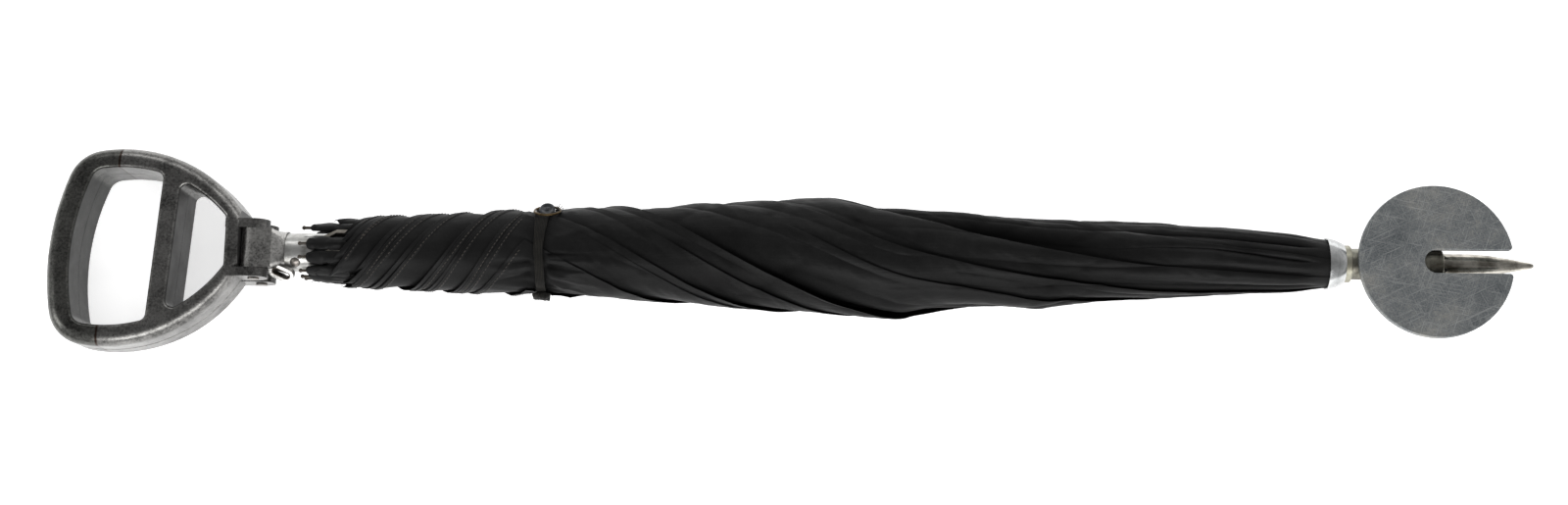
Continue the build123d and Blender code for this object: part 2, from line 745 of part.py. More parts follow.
def on_strap(angle, rise, shift=0):
    """A plane that lies on the strap at an angle round the shaft, facing outwards."""
    half_width, height = cloth_size(strap_share)
    turn = radians(angle)
    reach = 1 / sqrt((sin(turn) / half_width) ** 2 + (cos(turn) / height) ** 2)
    foot = Vector(strap_x() + shift, reach * sin(turn), axis_z + reach * cos(turn))
    normal = Vector(0, foot.Y / half_width**2, (foot.Z - axis_z) / height**2).normalized()
    return Plane(foot + normal * rise, x_dir=(1, 0, 0), z_dir=normal)


def strap_button():
    """A round button with four sewing holes."""
    button = Cylinder(button_d / 2, button_thickness)
    rims = button.edges().filter_by(GeomType.CIRCLE)
    button = fillet(rims.sort_by(Axis.Z)[-1], button_thickness * 0.45)
    for index in range(4):
        turn = pi / 4 + index * pi / 2
        place = Pos(cos(turn) * button_hole_spacing / sqrt(2), sin(turn) * button_hole_spacing / sqrt(2))
        button -= place * Cylinder(button_hole_d / 2, 2 * button_thickness)
    return on_strap(fastener_angle, button_lift + button_thickness / 2, fastener_shift) * button


def strap_ring():
    """The wire ring that the strap's end is drawn over."""
    ring = Torus((ring_d - ring_wire_d) / 2, ring_wire_d / 2)
    return on_strap(fastener_angle, ring_lift + ring_wire_d / 2, fastener_shift) * ring


def strap_keeper():
    """The folded lump of strap cloth on the under side."""
    lump = Box(keeper_length, keeper_width, keeper_thickness)
    lump = fillet(lump.edges().filter_by(Axis.Z), keeper_thickness)
    top = lump.faces().sort_by(Axis.Z)[-1]
    lump = fillet(top.edges(), keeper_thickness * 0.4)
    return on_strap(keeper_angle, strap_gap + keeper_thickness / 2) * lump


# ---- Collar ----


def canopy_collar():
    """The spun cap over the cloth's crown."""
    x_mouth = x_tube_end - collar_length
    mouth = collar_mouth_d / 2
    end = collar_end_d / 2
    bulge = (x_mouth + collar_length * 0.55, (mouth + end) / 2 + collar_wall * 0.35)
    outside = Spline((x_mouth, mouth), bulge, (x_tube_end, end))
    rim = Line((x_mouth, mouth), (x_mouth, mouth - collar_wall))
    inside = Spline((x_mouth, mouth - collar_wall), (bulge[0], bulge[1] - collar_wall * 1.4),
                    (x_tube_end - collar_wall, tube_d / 2 + slide_clearance))
    seat = Polyline((x_tube_end - collar_wall, tube_d / 2 + slide_clearance),
                    (x_tube_end, tube_d / 2 + slide_clearance), (x_tube_end, end))
    profile = make_face(outside + rim + inside + seat)
    return Pos(0, 0, axis_z) * revolve(profile, Axis.X)


def pieces():
    """Every piece, by the name of its node."""
    made = {
        "seat_frame_upper": seat_frame_upper(),
        "grip_bow_upper": grip_bow_upper(),
        "hinge_pin_upper": hinge_pin(z_pin),
        "hinge_pin_lower": hinge_pin(2 * axis_z - z_pin),
        "head_casting": head_casting(),
        "eye_liner": eye_liner(),
        "head_rivet": tube_rivet(x_neck + head_rivet_from_end),
        "shaft_tube": shaft_tube(),
        "runner_catch": catch_spring(catch_places()[0]),
        "crown_catch": catch_spring(catch_places()[1]),
        "end_plug": end_plug(),
        "plug_pin": plug_pin(),
        "ferrule_ring": ferrule_ring(),
        "spike": spike(),
        "ground_disc": ground_disc(),
        "disc_pivot_pin": disc_pivot_pin(),
        "disc_washers": disc_washers(),
        "crown_notch": crown_notch(),
        "crown_wire": crown_wire(),
        "runner": runner(),
        "runner_wire": runner_wire(),
        "canopy": canopy(),
        "canopy_collar": canopy_collar(),
        "tie_strap": tie_strap(),
        "strap_button": strap_button(),
        "strap_ring": strap_ring(),
        "strap_keeper": strap_keeper(),
    }
    made["seat_frame_lower"] = lower(made["seat_frame_upper"])
    made["grip_bow_lower"] = lower(made["grip_bow_upper"])
    for index in range(rib_count):
        made[f"rib_{index + 1}"] = rib(index)
        made[f"rib_tip_{index + 1}"] = rib_tip(index)
        made[f"stretcher_{index + 1}"] = stretcher(index)
    return made


os.makedirs("parts", exist_ok=True)
for node, piece in pieces().items():
    export_step(piece, f"parts/{node}.step")
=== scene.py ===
"""Looks of the umbrella seat stick, laid out as a Blender add-on and run as a script."""

import json
import math

import bmesh
import bpy
import numpy as np
from bpy.props import FloatProperty, FloatVectorProperty, IntProperty, PointerProperty
from mathutils import Euler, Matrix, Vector


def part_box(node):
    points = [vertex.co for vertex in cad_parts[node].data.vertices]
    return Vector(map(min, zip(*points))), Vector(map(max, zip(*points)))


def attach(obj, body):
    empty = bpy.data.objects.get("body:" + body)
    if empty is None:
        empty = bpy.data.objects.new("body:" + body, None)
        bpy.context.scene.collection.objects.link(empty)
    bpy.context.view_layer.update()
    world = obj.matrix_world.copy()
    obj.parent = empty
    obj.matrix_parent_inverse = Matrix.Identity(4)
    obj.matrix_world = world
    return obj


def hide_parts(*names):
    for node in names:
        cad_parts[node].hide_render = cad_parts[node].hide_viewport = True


bl_info = {
    "name": "Umbrella Seat Stick",
    "version": (1, 0, 0),
    "blender": (4, 5, 0),
    "location": "View3D > Sidebar > Seat Stick",
    "description": "Dresses the seat stick's frame: cast handle, wound umbrella, ground disc and spike",
    "category": "Add Mesh",
}

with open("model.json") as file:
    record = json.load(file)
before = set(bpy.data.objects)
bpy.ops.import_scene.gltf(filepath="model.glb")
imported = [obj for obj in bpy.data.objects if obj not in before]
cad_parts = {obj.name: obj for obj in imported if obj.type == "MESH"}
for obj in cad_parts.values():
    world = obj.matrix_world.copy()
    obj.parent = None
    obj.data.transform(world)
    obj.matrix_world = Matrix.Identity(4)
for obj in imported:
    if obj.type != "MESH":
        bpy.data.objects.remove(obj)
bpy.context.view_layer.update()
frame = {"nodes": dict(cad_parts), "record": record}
TURN = 2 * math.pi
# Finishes that more than one step uses
CLOTH = "Black umbrella cloth"
STRAP = "Tie strap cloth"
BUTTON = "Black button"
FASTENER = math.radians(66)  # place of the strap's button, from +Z towards +Y
BUTTON_TILT = math.radians(38)  # how far the loose button leans up from its place


# ---- Places on the frame ----


def middle(node):
    """Centre of a node's box."""
    low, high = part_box(node)
    return (Vector(low) + Vector(high)) / 2


# The cloth's shape is worked out in mm round the shaft, at s mm from the crown wire to the handle.
AXIS_Z = middle("shaft_tube").z
CROWN_X = middle("crown_wire").x
STRAP_S = (CROWN_X - middle("tie_strap").x) * 1000
PIN_X = middle("hinge_pin_upper").x
SEAM_X = PIN_X - 0.0885  # joint between bow and frame, on the shaft's axis
SEAT_SKEW = math.radians(3.9)  # lean of the handle's outline
FLOOR_MARGIN = 0.0002  # room under the lowest threads


# ---- Small tools ----


def to_linear(hex_colour):
    """An sRGB hex colour as linear red, green, blue and alpha."""
    values = [int(hex_colour[i : i + 2], 16) / 255 for i in (1, 3, 5)]
    linear = [v / 12.92 if v <= 0.04045 else ((v + 0.055) / 1.055) ** 2.4 for v in values]
    return (*linear, 1.0)


def shade(colour, *shares):
    """A linear colour made darker or paler, by one share or by one for each channel."""
    shares = shares if len(shares) == 3 else shares * 3
    return (*(min(value * share, 1.0) for value, share in zip(colour, shares)), 1.0)


def add_node(tree, kind, inputs=None, stops=(), **settings):
    """A node with its settings, values, links and colour stops; a node given as input is linked."""
    node = tree.nodes.new(kind)
    for key, value in settings.items():
        setattr(node, key, value)
    for key, value in (inputs or {}).items():
        if isinstance(value, bpy.types.Node):
            value = value.outputs[0]
        if isinstance(value, bpy.types.NodeSocket):
            tree.links.new(value, node.inputs[key])
        else:
            node.inputs[key].default_value = value
    if stops:
        marks = node.color_ramp.elements
        while len(marks) < len(stops):
            marks.new(0.5)
        for mark, (place, colour) in zip(marks, stops):
            mark.position = place
            mark.color = to_linear(colour) if isinstance(colour, str) else colour
    return node


def new_material(name):
    """An empty material and its node tree."""
    material = bpy.data.materials.new(name)
    material.use_nodes = True
    material.node_tree.nodes.clear()
    return material, material.node_tree


def surface(tree, inputs):
    """Ends a material's tree with its shader and output."""
    shader = add_node(tree, "ShaderNodeBsdfPrincipled", inputs)
    add_node(tree, "ShaderNodeOutputMaterial", {"Surface": shader})


def own_place(tree, scale=(1, 1, 1), turn=0.0):
    """Object coordinates, turned about Z and then stretched along each axis."""
    place = add_node(tree, "ShaderNodeTexCoord").outputs["Object"]
    if turn:
        place = add_node(tree, "ShaderNodeMapping", {"Vector": place, "Rotation": (0, 0, turn)})
    return add_node(tree, "ShaderNodeMapping", {"Vector": place, "Scale": scale})


def mesh_object(name, points, faces, material, smooth=True):
    """A mesh object with its place in its mesh."""
    mesh = bpy.data.meshes.new(name)
    mesh.from_pydata([tuple(p) for p in points], [], [tuple(f) for f in faces])
    mesh.materials.append(material)
    mesh.polygons.foreach_set("use_smooth", [smooth] * len(mesh.polygons))
    mesh.update()
    obj = bpy.data.objects.new(name, mesh)
    bpy.context.collection.objects.link(obj)
    return obj


def grid_faces(rows, columns, start=0, flip=False):
    """Quads of a grid of points, row by row."""
    faces = []
    for i in range(rows - 1):
        for j in range(columns - 1):
            a = start + i * columns + j
            quad = (a, a + 1, a + columns + 1, a + columns)
            faces.append(quad[::-1] if flip else quad)
    return faces


# ---- Materials ----

NOISE = "ShaderNodeTexNoise"  # its scale is in cycles per metre
WAVE = "ShaderNodeTexWave"
RANGE = "ShaderNodeMapRange"
MATHS = "ShaderNodeMath"
RAMP = "ShaderNodeValToRGB"
MIX = "ShaderNodeMix"  # its colours are inputs 6 and 7 and output 2
BUMP = "ShaderNodeBump"  # its distance is in metres


def cast_aluminium(name, pale):
    """Sand-cast aluminium, handled for years: dull oxide with brighter rubbed patches, and painted shade
    on its walls that face along the stick.
    """
    material, tree = new_material(name)
    place = own_place(tree)
    # The hand's wear is patchy at 5 to 30 mm and leaves streaks of 5 by 1 mm. The casting's skin is
    # speckled below 1 mm, and is drawn at 1.5 mm so that it shows.
    wear = add_node(tree, NOISE, {"Vector": place, "Scale": 60.0, "Detail": 8.0, "Roughness": 0.68})
    speckle = add_node(tree, NOISE, {"Vector": place, "Scale": 650.0, "Detail": 3.0, "Roughness": 0.75})
    stretched = own_place(tree, (220, 900, 900))
    streak = add_node(tree, NOISE, {"Vector": stretched, "Scale": 1.0, "Detail": 3.0, "Roughness": 0.6})
    spots = add_node(tree, RANGE, {"Value": speckle, "To Min": -0.42, "To Max": 0.42})
    tone = add_node(tree, MATHS, {0: wear, 1: spots}, operation="ADD")
    stops = ((0.3, shade(pale, 0.24)), (0.66, shade(pale, 1.0)))
    rubbed = add_node(tree, RAMP, {"Fac": tone}, stops)
    # Painted shade: the walls across the stick inside the openings, where shade falls, are painted
    # darker.
    facing = add_node(tree, "ShaderNodeTexCoord").outputs["Normal"]
    along = add_node(tree, "ShaderNodeSeparateXYZ", {"Vector": facing}).outputs["X"]
    either_way = add_node(tree, MATHS, {0: along}, operation="ABSOLUTE")
    shaded_wall = add_node(tree, RANGE, {"Value": either_way, "From Min": 0.8, "From Max": 0.93})
    oxide = add_node(tree, MATHS, {0: shaded_wall, 1: 0.85}, operation="MULTIPLY")
    wear_and_wall_shade = add_node(tree, MIX, {0: oxide, 6: rubbed, 7: shade(pale, 0.12)}, data_type="RGBA")
    # Dried polish stays brown in the joint between bow and frame, which leans as the handle does.
    spot = add_node(tree, "ShaderNodeSeparateXYZ", {"Vector": place})
    lean = -math.tan(SEAT_SKEW)
    slant = add_node(tree, MATHS, {0: spot.outputs["Y"], 1: lean}, operation="MULTIPLY")
    upright = add_node(tree, MATHS, {0: slant, 1: spot.outputs["X"]}, operation="ADD")
    apart = add_node(tree, MATHS, {0: upright, 1: SEAM_X}, operation="SUBTRACT")
    distance = add_node(tree, MATHS, {0: apart}, operation="ABSOLUTE")
    inputs = {"Value": distance, "From Min": 0.0003, "From Max": 0.0011, "To Min": 0.95, "To Max": 0.0}
    stain = add_node(tree, RANGE, inputs)
    inputs = {0: stain, 6: wear_and_wall_shade.outputs[2], 7: to_linear("#2c2019")}
    soiled = add_node(tree, MIX, inputs, data_type="RGBA")
    # Painted shade, also: the shaded walls are less metallic, so that they reflect less of the bright
    # floor.
    metal = add_node(tree, RANGE, {"Value": shaded_wall, "To Min": 1.0, "To Max": 0.45})
    rough = 0.0
    for source, low, high in ((wear, 0.42, 0.2), (speckle, -0.07, 0.07), (shaded_wall, 0.0, 0.12)):
        part = add_node(tree, RANGE, {"Value": source, "To Min": low, "To Max": high})
        rough = add_node(tree, MATHS, {0: rough, 1: part}, operation="ADD")
    grit = add_node(tree, BUMP, {"Height": speckle, "Distance": 0.00008, "Strength": 0.55})
    inputs = {"Height": streak, "Distance": 0.00005, "Strength": 0.35, "Normal": grit}
    relief = add_node(tree, BUMP, inputs)
    inputs = {
        "Base Color": soiled.outputs[2],
        "Metallic": metal,
        "Roughness": rough,
        "Specular IOR Level": 0.3,
        "Normal": relief,
    }
    surface(tree, inputs)
    return material


def satin_metal(name, colour, worn, rough, along=(30, 1400, 1400)):
    """Drawn or turned metal: fine lines along the draw, dulled by handling."""
    material, tree = new_material(name)
    # The lines are finer than 0.1 mm and are drawn 0.7 mm wide or more so that they show. Hands
    # dull the metal in patches of 11 mm.
    drawn = own_place(tree, along)
    lines = add_node(tree, NOISE, {"Vector": drawn, "Scale": 1.0, "Detail": 3.0, "Roughness": 0.6})
    place = own_place(tree)
    patches = add_node(tree, NOISE, {"Vector": place, "Scale": 90.0, "Detail": 4.0, "Roughness": 0.6})
    fine = add_node(tree, RANGE, {"Value": lines, "To Min": -0.14, "To Max": 0.14})
    tone = add_node(tree, MATHS, {0: patches, 1: fine}, operation="ADD")
    base = add_node(tree, RAMP, {"Fac": tone}, ((0.32, worn), (0.6, colour)))
    dull = add_node(tree, RANGE, {"Value": tone, "To Min": rough + 0.12, "To Max": rough - 0.05})
    relief = add_node(tree, BUMP, {"Height": lines, "Distance": 0.00003, "Strength": 0.4})
    surface(tree, {"Base Color": base, "Metallic": 1.0, "Roughness": dull, "Normal": relief})
    return material


def scratched_plate(name, colour):
    """Milled plate metal, oxidised in bluish and brownish clouds and scored every way by gravel."""
    material, tree = new_material(name)
    # The clouds are 30 mm across and the pits 1 mm. The scores are 12 to 22 mm long and hair-fine,
    # and are drawn some 0.2 mm wide so that they show.
    place = own_place(tree)
    cloud = add_node(tree, NOISE, {"Vector": place, "Scale": 34.0, "Detail": 9.0, "Roughness": 0.74})
    pits = add_node(tree, NOISE, {"Vector": place, "Scale": 1100.0, "Detail": 3.0, "Roughness": 0.6})
    scores = 0.0
    for turn, reach in ((0.2, 50), (1.1, 80), (1.9, 60), (2.7, 45)):
        scored = own_place(tree, (reach, 2300, 400), turn)
        lines = add_node(tree, NOISE, {"Vector": scored, "Scale": 1.0, "Detail": 1.0, "Roughness": 0.5})
        thin = add_node(tree, RANGE, {"Value": lines, "From Min": 0.63, "From Max": 0.72})
        scores = add_node(tree, MATHS, {0: scores, 1: thin}, operation="MAXIMUM")
    specks = add_node(tree, RANGE, {"Value": pits, "To Min": -0.26, "To Max": 0.26})
    tone = add_node(tree, MATHS, {0: cloud, 1: specks}, operation="ADD")
    stops = (
        (0.28, shade(colour, 0.46, 0.5, 0.55)),
        (0.5, shade(colour, 0.96, 1.0, 1.04)),
        (0.74, shade(colour, 1.8, 1.72, 1.6)),
    )
    oxide = add_node(tree, RAMP, {"Fac": tone}, stops)
    bare = add_node(tree, MATHS, {0: scores, 1: 0.36}, operation="MULTIPLY")
    base = add_node(tree, MIX, {0: bare, 6: oxide, 7: shade(colour, 2.6)}, data_type="RGBA")
    rough = add_node(tree, RANGE, {"Value": tone, "To Min": 0.66, "To Max": 0.44})
    pitted = add_node(tree, BUMP, {"Height": pits, "Distance": 0.00006, "Strength": 0.5})
    inputs = {"Height": scores, "Distance": -0.00004, "Strength": 0.5, "Normal": pitted}
    relief = add_node(tree, BUMP, inputs)
    inputs = {"Base Color": base.outputs[2], "Metallic": 0.75, "Roughness": rough, "Normal": relief}
    surface(tree, inputs)
    return material


def nickel_plate(name, colour, worn, gloss):
    """Nickel plating worn thin, so that warm brass tones show at the touched places."""
    material, tree = new_material(name)
    # It is worn in patches of 4 mm and gritty at 0.5 mm.
    place = own_place(tree)
    patches = add_node(tree, NOISE, {"Vector": place, "Scale": 260.0, "Detail": 4.0, "Roughness": 0.6})
    grit = add_node(tree, NOISE, {"Vector": place, "Scale": 2200.0, "Detail": 2.0, "Roughness": 0.6})
    base = add_node(tree, RAMP, {"Fac": patches}, ((0.4, colour), (0.75, worn)))
    rough = add_node(tree, RANGE, {"Value": patches, "To Min": gloss, "To Max": gloss + 0.16})
    relief = add_node(tree, BUMP, {"Height": grit, "Distance": 0.00002, "Strength": 0.4})
    surface(tree, {"Base Color": base, "Metallic": 1.0, "Roughness": rough, "Normal": relief})
    return material


def black_cloth(name, colour):
    """Plain-weave cotton and silk umbrella cloth, a little grey and dusty, with painted shade deep in its
    folds.
    """
    material, tree = new_material(name)
    # The threads are 0.25 mm apart and are drawn 1.4 mm apart so that they show. Dust lies in
    # clouds of 30 mm and lint in specks of 1.5 mm.
    weave = add_node(tree, "ShaderNodeUVMap", uv_map="cloth")
    inputs = {"Vector": weave, "Scale": 225.0, "Distortion": 0.6, "Detail": 1.0}
    warp = add_node(tree, WAVE, inputs, bands_direction="X").outputs["Fac"]
    weft = add_node(tree, WAVE, inputs, bands_direction="Y").outputs["Fac"]
    threads = add_node(tree, MATHS, {0: warp, 1: weft}, operation="MAXIMUM")
    place = own_place(tree)
    dust = add_node(tree, NOISE, {"Vector": place, "Scale": 34.0, "Detail": 6.0, "Roughness": 0.65})
    lint = add_node(tree, NOISE, {"Vector": place, "Scale": 700.0, "Detail": 2.0, "Roughness": 0.5})
    specks = add_node(tree, RANGE, {"Value": lint, "To Min": -0.12, "To Max": 0.12})
    tone = add_node(tree, MATHS, {0: dust, 1: specks}, operation="ADD")
    stops = ((0.3, shade(colour, 0.5)), (0.55, shade(colour, 0.9)), (0.85, shade(colour, 1.6)))
    rubbed = add_node(tree, RAMP, {"Fac": tone}, stops)
    # Painted shade: where the cloth lies deep in the folds, it is painted near black and its shine is
    # lowered.
    fold_shade = add_node(tree, "ShaderNodeAttribute", attribute_name="fold_shade").outputs["Fac"]
    base = add_node(tree, MIX, {0: fold_shade, 6: rubbed, 7: shade(colour, 0.25)}, data_type="RGBA")
    dusty = add_node(tree, RANGE, {"Value": dust, "To Min": 0.4, "To Max": 0.54})
    deep = add_node(tree, RANGE, {"Value": fold_shade, "To Min": 0.0, "To Max": 0.25})
    rough = add_node(tree, MATHS, {0: dusty, 1: deep}, operation="ADD")
    shine = add_node(tree, RANGE, {"Value": fold_shade, "To Min": 0.11, "To Max": 0.015})
    # Slack cloth waves at 17 by 5 mm
    slack = own_place(tree, (60, 220, 220))
    waves = add_node(tree, NOISE, {"Vector": slack, "Scale": 1.0, "Detail": 4.0, "Roughness": 0.6})
    soft = add_node(tree, BUMP, {"Height": waves, "Distance": 0.0006, "Strength": 0.45})
    inputs = {"Height": threads, "Distance": 0.00005, "Strength": 0.5, "Normal": soft}
    relief = add_node(tree, BUMP, inputs)
    inputs = {
        "Base Color": base.outputs[2],
        "Roughness": rough,
        "Specular IOR Level": shine,
        "Sheen Weight": 0.008,
        "Sheen Roughness": 0.35,
        "Normal": relief,
    }
    surface(tree, inputs)
    return material


def strap_webbing(name, colour):
    """Folded strap of the canopy's cloth, gone brownish at its ribs."""
    material, tree = new_material(name)
    # The ribs are 1 mm apart, and brownish in patches of 6 mm.
    place = own_place(tree)
    inputs = {"Vector": place, "Scale": 330.0, "Distortion": 0.8, "Detail": 2.0}
    cords = add_node(tree, WAVE, inputs, bands_direction="X").outputs["Fac"]
    patches = add_node(tree, NOISE, {"Vector": place, "Scale": 160.0, "Detail": 4.0, "Roughness": 0.6})
    tone = add_node(tree, MATHS, {0: cords, 1: patches}, operation="MULTIPLY")
    stops = ((0.15, shade(colour, 0.1)), (0.6, shade(colour, 0.9)))
    base = add_node(tree, RAMP, {"Fac": tone}, stops)
    relief = add_node(tree, BUMP, {"Height": cords, "Distance": 0.00012, "Strength": 0.7})
    inputs = {
        "Base Color": base,
        "Roughness": 0.85,
        "Sheen Weight": 0.02,
        "Specular IOR Level": 0.2,
        "Normal": relief,
    }
    surface(tree, inputs)
    return material


def sewing_thread(name):
    """Black cotton thread, faded brownish in patches of 3 mm, so that the hems show as fine lines."""
    material, tree = new_material(name)
    place = own_place(tree)
    patches = add_node(tree, NOISE, {"Vector": place, "Scale": 300.0, "Detail": 3.0, "Roughness": 0.6})
    base = add_node(tree, RAMP, {"Fac": patches}, ((0.3, "#1c1a17"), (0.7, "#3a352f")))
    surface(tree, {"Base Color": base, "Roughness": 0.8})
    return material


def horn_button(name):
    """Moulded black button with its polish worn in patches of 2 mm, which breaks up its glints."""
    material, tree = new_material(name)
    place = own_place(tree)
    patches = add_node(tree, NOISE, {"Vector": place, "Scale": 500.0, "Detail": 3.0, "Roughness": 0.6})
    base = add_node(tree, RAMP, {"Fac": patches}, ((0.35, "#0e0f12"), (0.7, "#22252b")))
    rough = add_node(tree, RANGE, {"Value": patches, "To Min": 0.2, "To Max": 0.42})
    relief = add_node(tree, BUMP, {"Height": patches, "Distance": 0.00002, "Strength": 0.3})
    surface(tree, {"Base Color": base, "Roughness": rough, "Normal": relief})
    return material


def lacquered_steel(name):
    """Black stove lacquer on thin steel, with a soft shine rubbed duller in patches of 4 mm."""
    material, tree = new_material(name)
    place = own_place(tree)
    patches = add_node(tree, NOISE, {"Vector": place, "Scale": 240.0, "Detail": 4.0, "Roughness": 0.6})
    base = add_node(tree, RAMP, {"Fac": patches}, ((0.3, "#121212"), (0.75, "#2a2826")))
    rough = add_node(tree, RANGE, {"Value": patches, "To Min": 0.3, "To Max": 0.55})
    surface(tree, {"Base Color": base, "Metallic": 0.3, "Roughness": rough})
    return material


# Scales of the line patterns along X, Y and Z, in cycles per metre
TURNED = (700, 90, 90)
SPUN = (900, 60, 60)
RUBBED = (14, 900, 900)
HAMMERED = (800, 800, 800)

# Finish of each slot
FINISHES = {
    "cast_aluminium": lambda own: cast_aluminium("Cast aluminium, frame", own.frame_colour),
    "bow_aluminium": lambda own: cast_aluminium("Cast aluminium, bow", own.bow_colour),
    "rivet_steel": lambda own: satin_metal("Worn rivet steel", "#847f7a", "#494541", 0.35, HAMMERED),
    "nickel": lambda own: nickel_plate("Dulled nickel plate", "#4e4a46", "#3c352c", 0.45),
    "tube_aluminium": lambda own: satin_metal("Drawn aluminium tube", "#bfbfbd", "#83827e", 0.3),
    "spring_steel": lambda own: satin_metal("Spring steel", "#6a6762", "#3a3734", 0.35),
    "ferrule_aluminium": lambda own: satin_metal("Tarnished ferrule", "#828177", "#4d4941", 0.36, TURNED),
    "disc_metal": lambda own: scratched_plate("Gravel-worn plate", own.disc_colour),
    "black_fittings": lambda own: lacquered_steel("Black lacquer"),
    "black_cloth": lambda own: black_cloth(CLOTH, own.cloth_colour),
    "bright_aluminium": lambda own: satin_metal("Spun aluminium", "#c2c3c3", "#939595", 0.18, SPUN),
    "strap_cloth": lambda own: strap_webbing(STRAP, own.strap_colour),
    "button": lambda own: horn_button(BUTTON),
    "brass": lambda own: nickel_plate("Tarnished brass wire", "#4e412d", "#3a2f1e", 0.28),
    "rib_steel": lambda own: satin_metal("Plated rib steel", "#716d66", "#3d3a36", 0.32),
}
# Nodes that look unlike the rest of their slot: the head is polished by the hinges that rub it, the
# ferrule ring is paler than the end plug, and the spike is rubbed bright by the soil.
OWN_FINISHES = {
    "head_casting": lambda own: cast_aluminium("Cast aluminium, head", shade(own.frame_colour, 1.9)),
    "ferrule_ring": lambda own: satin_metal("Pale ferrule ring", "#a09e90", "#7b786c", 0.42, TURNED),
    "spike": lambda own: satin_metal("Rubbed nickel plate", "#b6b2a9", "#4f4a41", 0.08, RUBBED),
}


# ---- Shape of the wound cloth ----

# Distance from the crown wire, then half width towards +Y, half width towards -Y and half height, in mm
OUTLINE = (
    (-6, 14.6, 14.6, 14.6),
    (0, 15.4, 15.4, 15.4),
    (18, 17.6, 17.6, 17.2),
    (36, 19.0, 19.2, 18.6),
    (60, 21.0, 21.4, 20.2),
    (95, 23.2, 23.4, 22.0),
    (130, 24.6, 25.4, 23.2),
    (155, 25.4, 27.8, 24.0),
    (174, 26.0, 30.8, 25.0),
    (198, 28.2, 30.2, 26.6),
    (220, 31.2, 31.6, 28.0),
    (245, 33.6, 35.4, 30.0),
    (258, 34.4, 38.2, 30.8),
    (275, 35.4, 37.2, 31.6),
    (301, 37.0, 36.6, 32.2),
    (330, 36.2, 34.4, 31.6),
    (360, 34.0, 31.6, 29.6),
    (391, 32.2, 29.6, 27.8),
    (420, 31.2, 28.2, 26.4),
    (452, 29.6, 26.8, 25.0),
    (484, 28.6, 25.6, 24.2),
    (510, 27.2, 24.6, 23.6),
    (540, 25.0, 23.6, 22.8),
    (570, 23.4, 22.4, 21.8),
    (595, 21.6, 21.4, 20.8),
    (622, 19.0, 19.6, 19.2),
)

# Turn of the flaps' free edges, in degrees, against the distance from the crown wire in mm
EDGE_TURN = (
    (-6, -112),
    (36, -98),
    (112, -78),
    (174, -46),
    (222, -22),
    (267, 0),
    (312, 36),
    (359, 79),
    (418, 148),
    (451, 190),
    (488, 236),
)

# Each flap: its rib's angle at the crown, at its tip, and its free edge's angle at 267 mm
FLAPS = (
    (86, 64, -114.5),
    (41, 11, -157),
    (-4, -19, -170),
    (-49, -53, -222),
    (-94, -75, 52),
    (-139, -110, 10),
    (-184, -166, -22),
    (-229, -229, -87),
)
# Folds crushed by the strap: towards the crown (-1) or the handle (1), angle at the strap in
# radians, turn in radians per mm, half width in radians, height in mm
STRAP_FOLDS = (
    (-1, -0.15, 0.0, 0.05, -2.4),
    (-1, -0.30, -0.001, 0.09, 2.3),
    (-1, -0.47, -0.003, 0.06, -2.6),
    (-1, -0.63, -0.010, 0.08, 2.2),
    (-1, -0.82, -0.019, 0.06, 2.0),
    (1, -0.34, -0.002, 0.05, -2.2),
    (1, -0.46, -0.006, 0.07, 2.0),
    (1, -0.62, -0.012, 0.05, -2.0),
)
GORES = len(FLAPS)
GORE_ANGLE = 360 / GORES  # degrees from rib to rib
CROWN_TURN = -EDGE_TURN[0][1]  # degrees from the crown to where FLAPS gives the free edges
CROWN_LEAD = 50  # degrees from a rib to its flap's free edge at the crown
CORNER_S = 488.0  # where a flap's free edge ends in its corner and the hem begins
CORNER_WRAP = 385  # degrees that a flap is wound round at its corner
HEM_END_S = 603.0  # where the hems come back to their ribs, on average
BUNDLE_RADIUS = 22  # radius, in mm, that widths across the cloth are counted at
UNDER_START = 20.0  # where a flap's under layer begins, in degrees from the rib
LEAST_WRAP = 14  # least wrap, in degrees, that a flap's shape is worked out with near its end
CLOTH_LIFT = 0.65  # mm between the floor and the lowest cloth
STITCH_INSET = 9  # degrees from the hem's edge
STITCH_LIFT = 0.78  # mm over the flap, so that the hem's own thickness doesn't hide the stitches


def smooth_table(table, column):
    """A function that follows one column of a table smoothly."""
    xs = np.array([row[0] for row in table], float)
    ys = np.array([row[column] for row in table], float)
    slopes = np.gradient(ys, xs)

    def value(x):
        x = np.clip(x, xs[0], xs[-1])
        i = np.clip(np.searchsorted(xs, x, side="right") - 1, 0, len(xs) - 2)
        h = xs[i + 1] - xs[i]
        t = (x - xs[i]) / h
        a = (2 * t**3 - 3 * t**2 + 1) * ys[i] + (3 * t**2 - 2 * t**3) * ys[i + 1]
        return a + h * ((t**3 - 2 * t**2 + t) * slopes[i] + (t**3 - t**2) * slopes[i + 1])

    return value


WIDTH_UP = smooth_table(OUTLINE, 1)
WIDTH_DOWN = smooth_table(OUTLINE, 2)
HEIGHT = smooth_table(OUTLINE, 3)
TURN_AT = smooth_table(EDGE_TURN, 1)


def ease(t):
    """A soft step from 0 to 1."""
    t = np.clip(t, 0.0, 1.0)
    return t * t * (3 - 2 * t)


def cell_noise(angle, along, turns, seed):
    """Smooth seeded noise from -1 to 1: cells once round the bundle, and along it as counted."""
    rng = np.random.default_rng(seed)
    grid = rng.uniform(-1, 1, (turns, 64))
    a, b = np.broadcast_arrays(angle / TURN * turns, along)
    i, j = np.floor(a).astype(int), np.floor(b).astype(int)
    u, v = ease(a - i), ease(b - j)
    corners = [grid[(i + m) % turns, (j + n) % 64] for m in (0, 1) for n in (0, 1)]
    return (corners[0] * (1 - v) + corners[1] * v) * (1 - u) + (corners[2] * (1 - v) + corners[3] * v) * u


def crease(angle, along, turns, seed):
    """Soft pillows between sharp valleys, about zero on average."""
    return np.abs(cell_noise(angle, along, turns, seed) * 1.6) ** 0.7 - 0.62


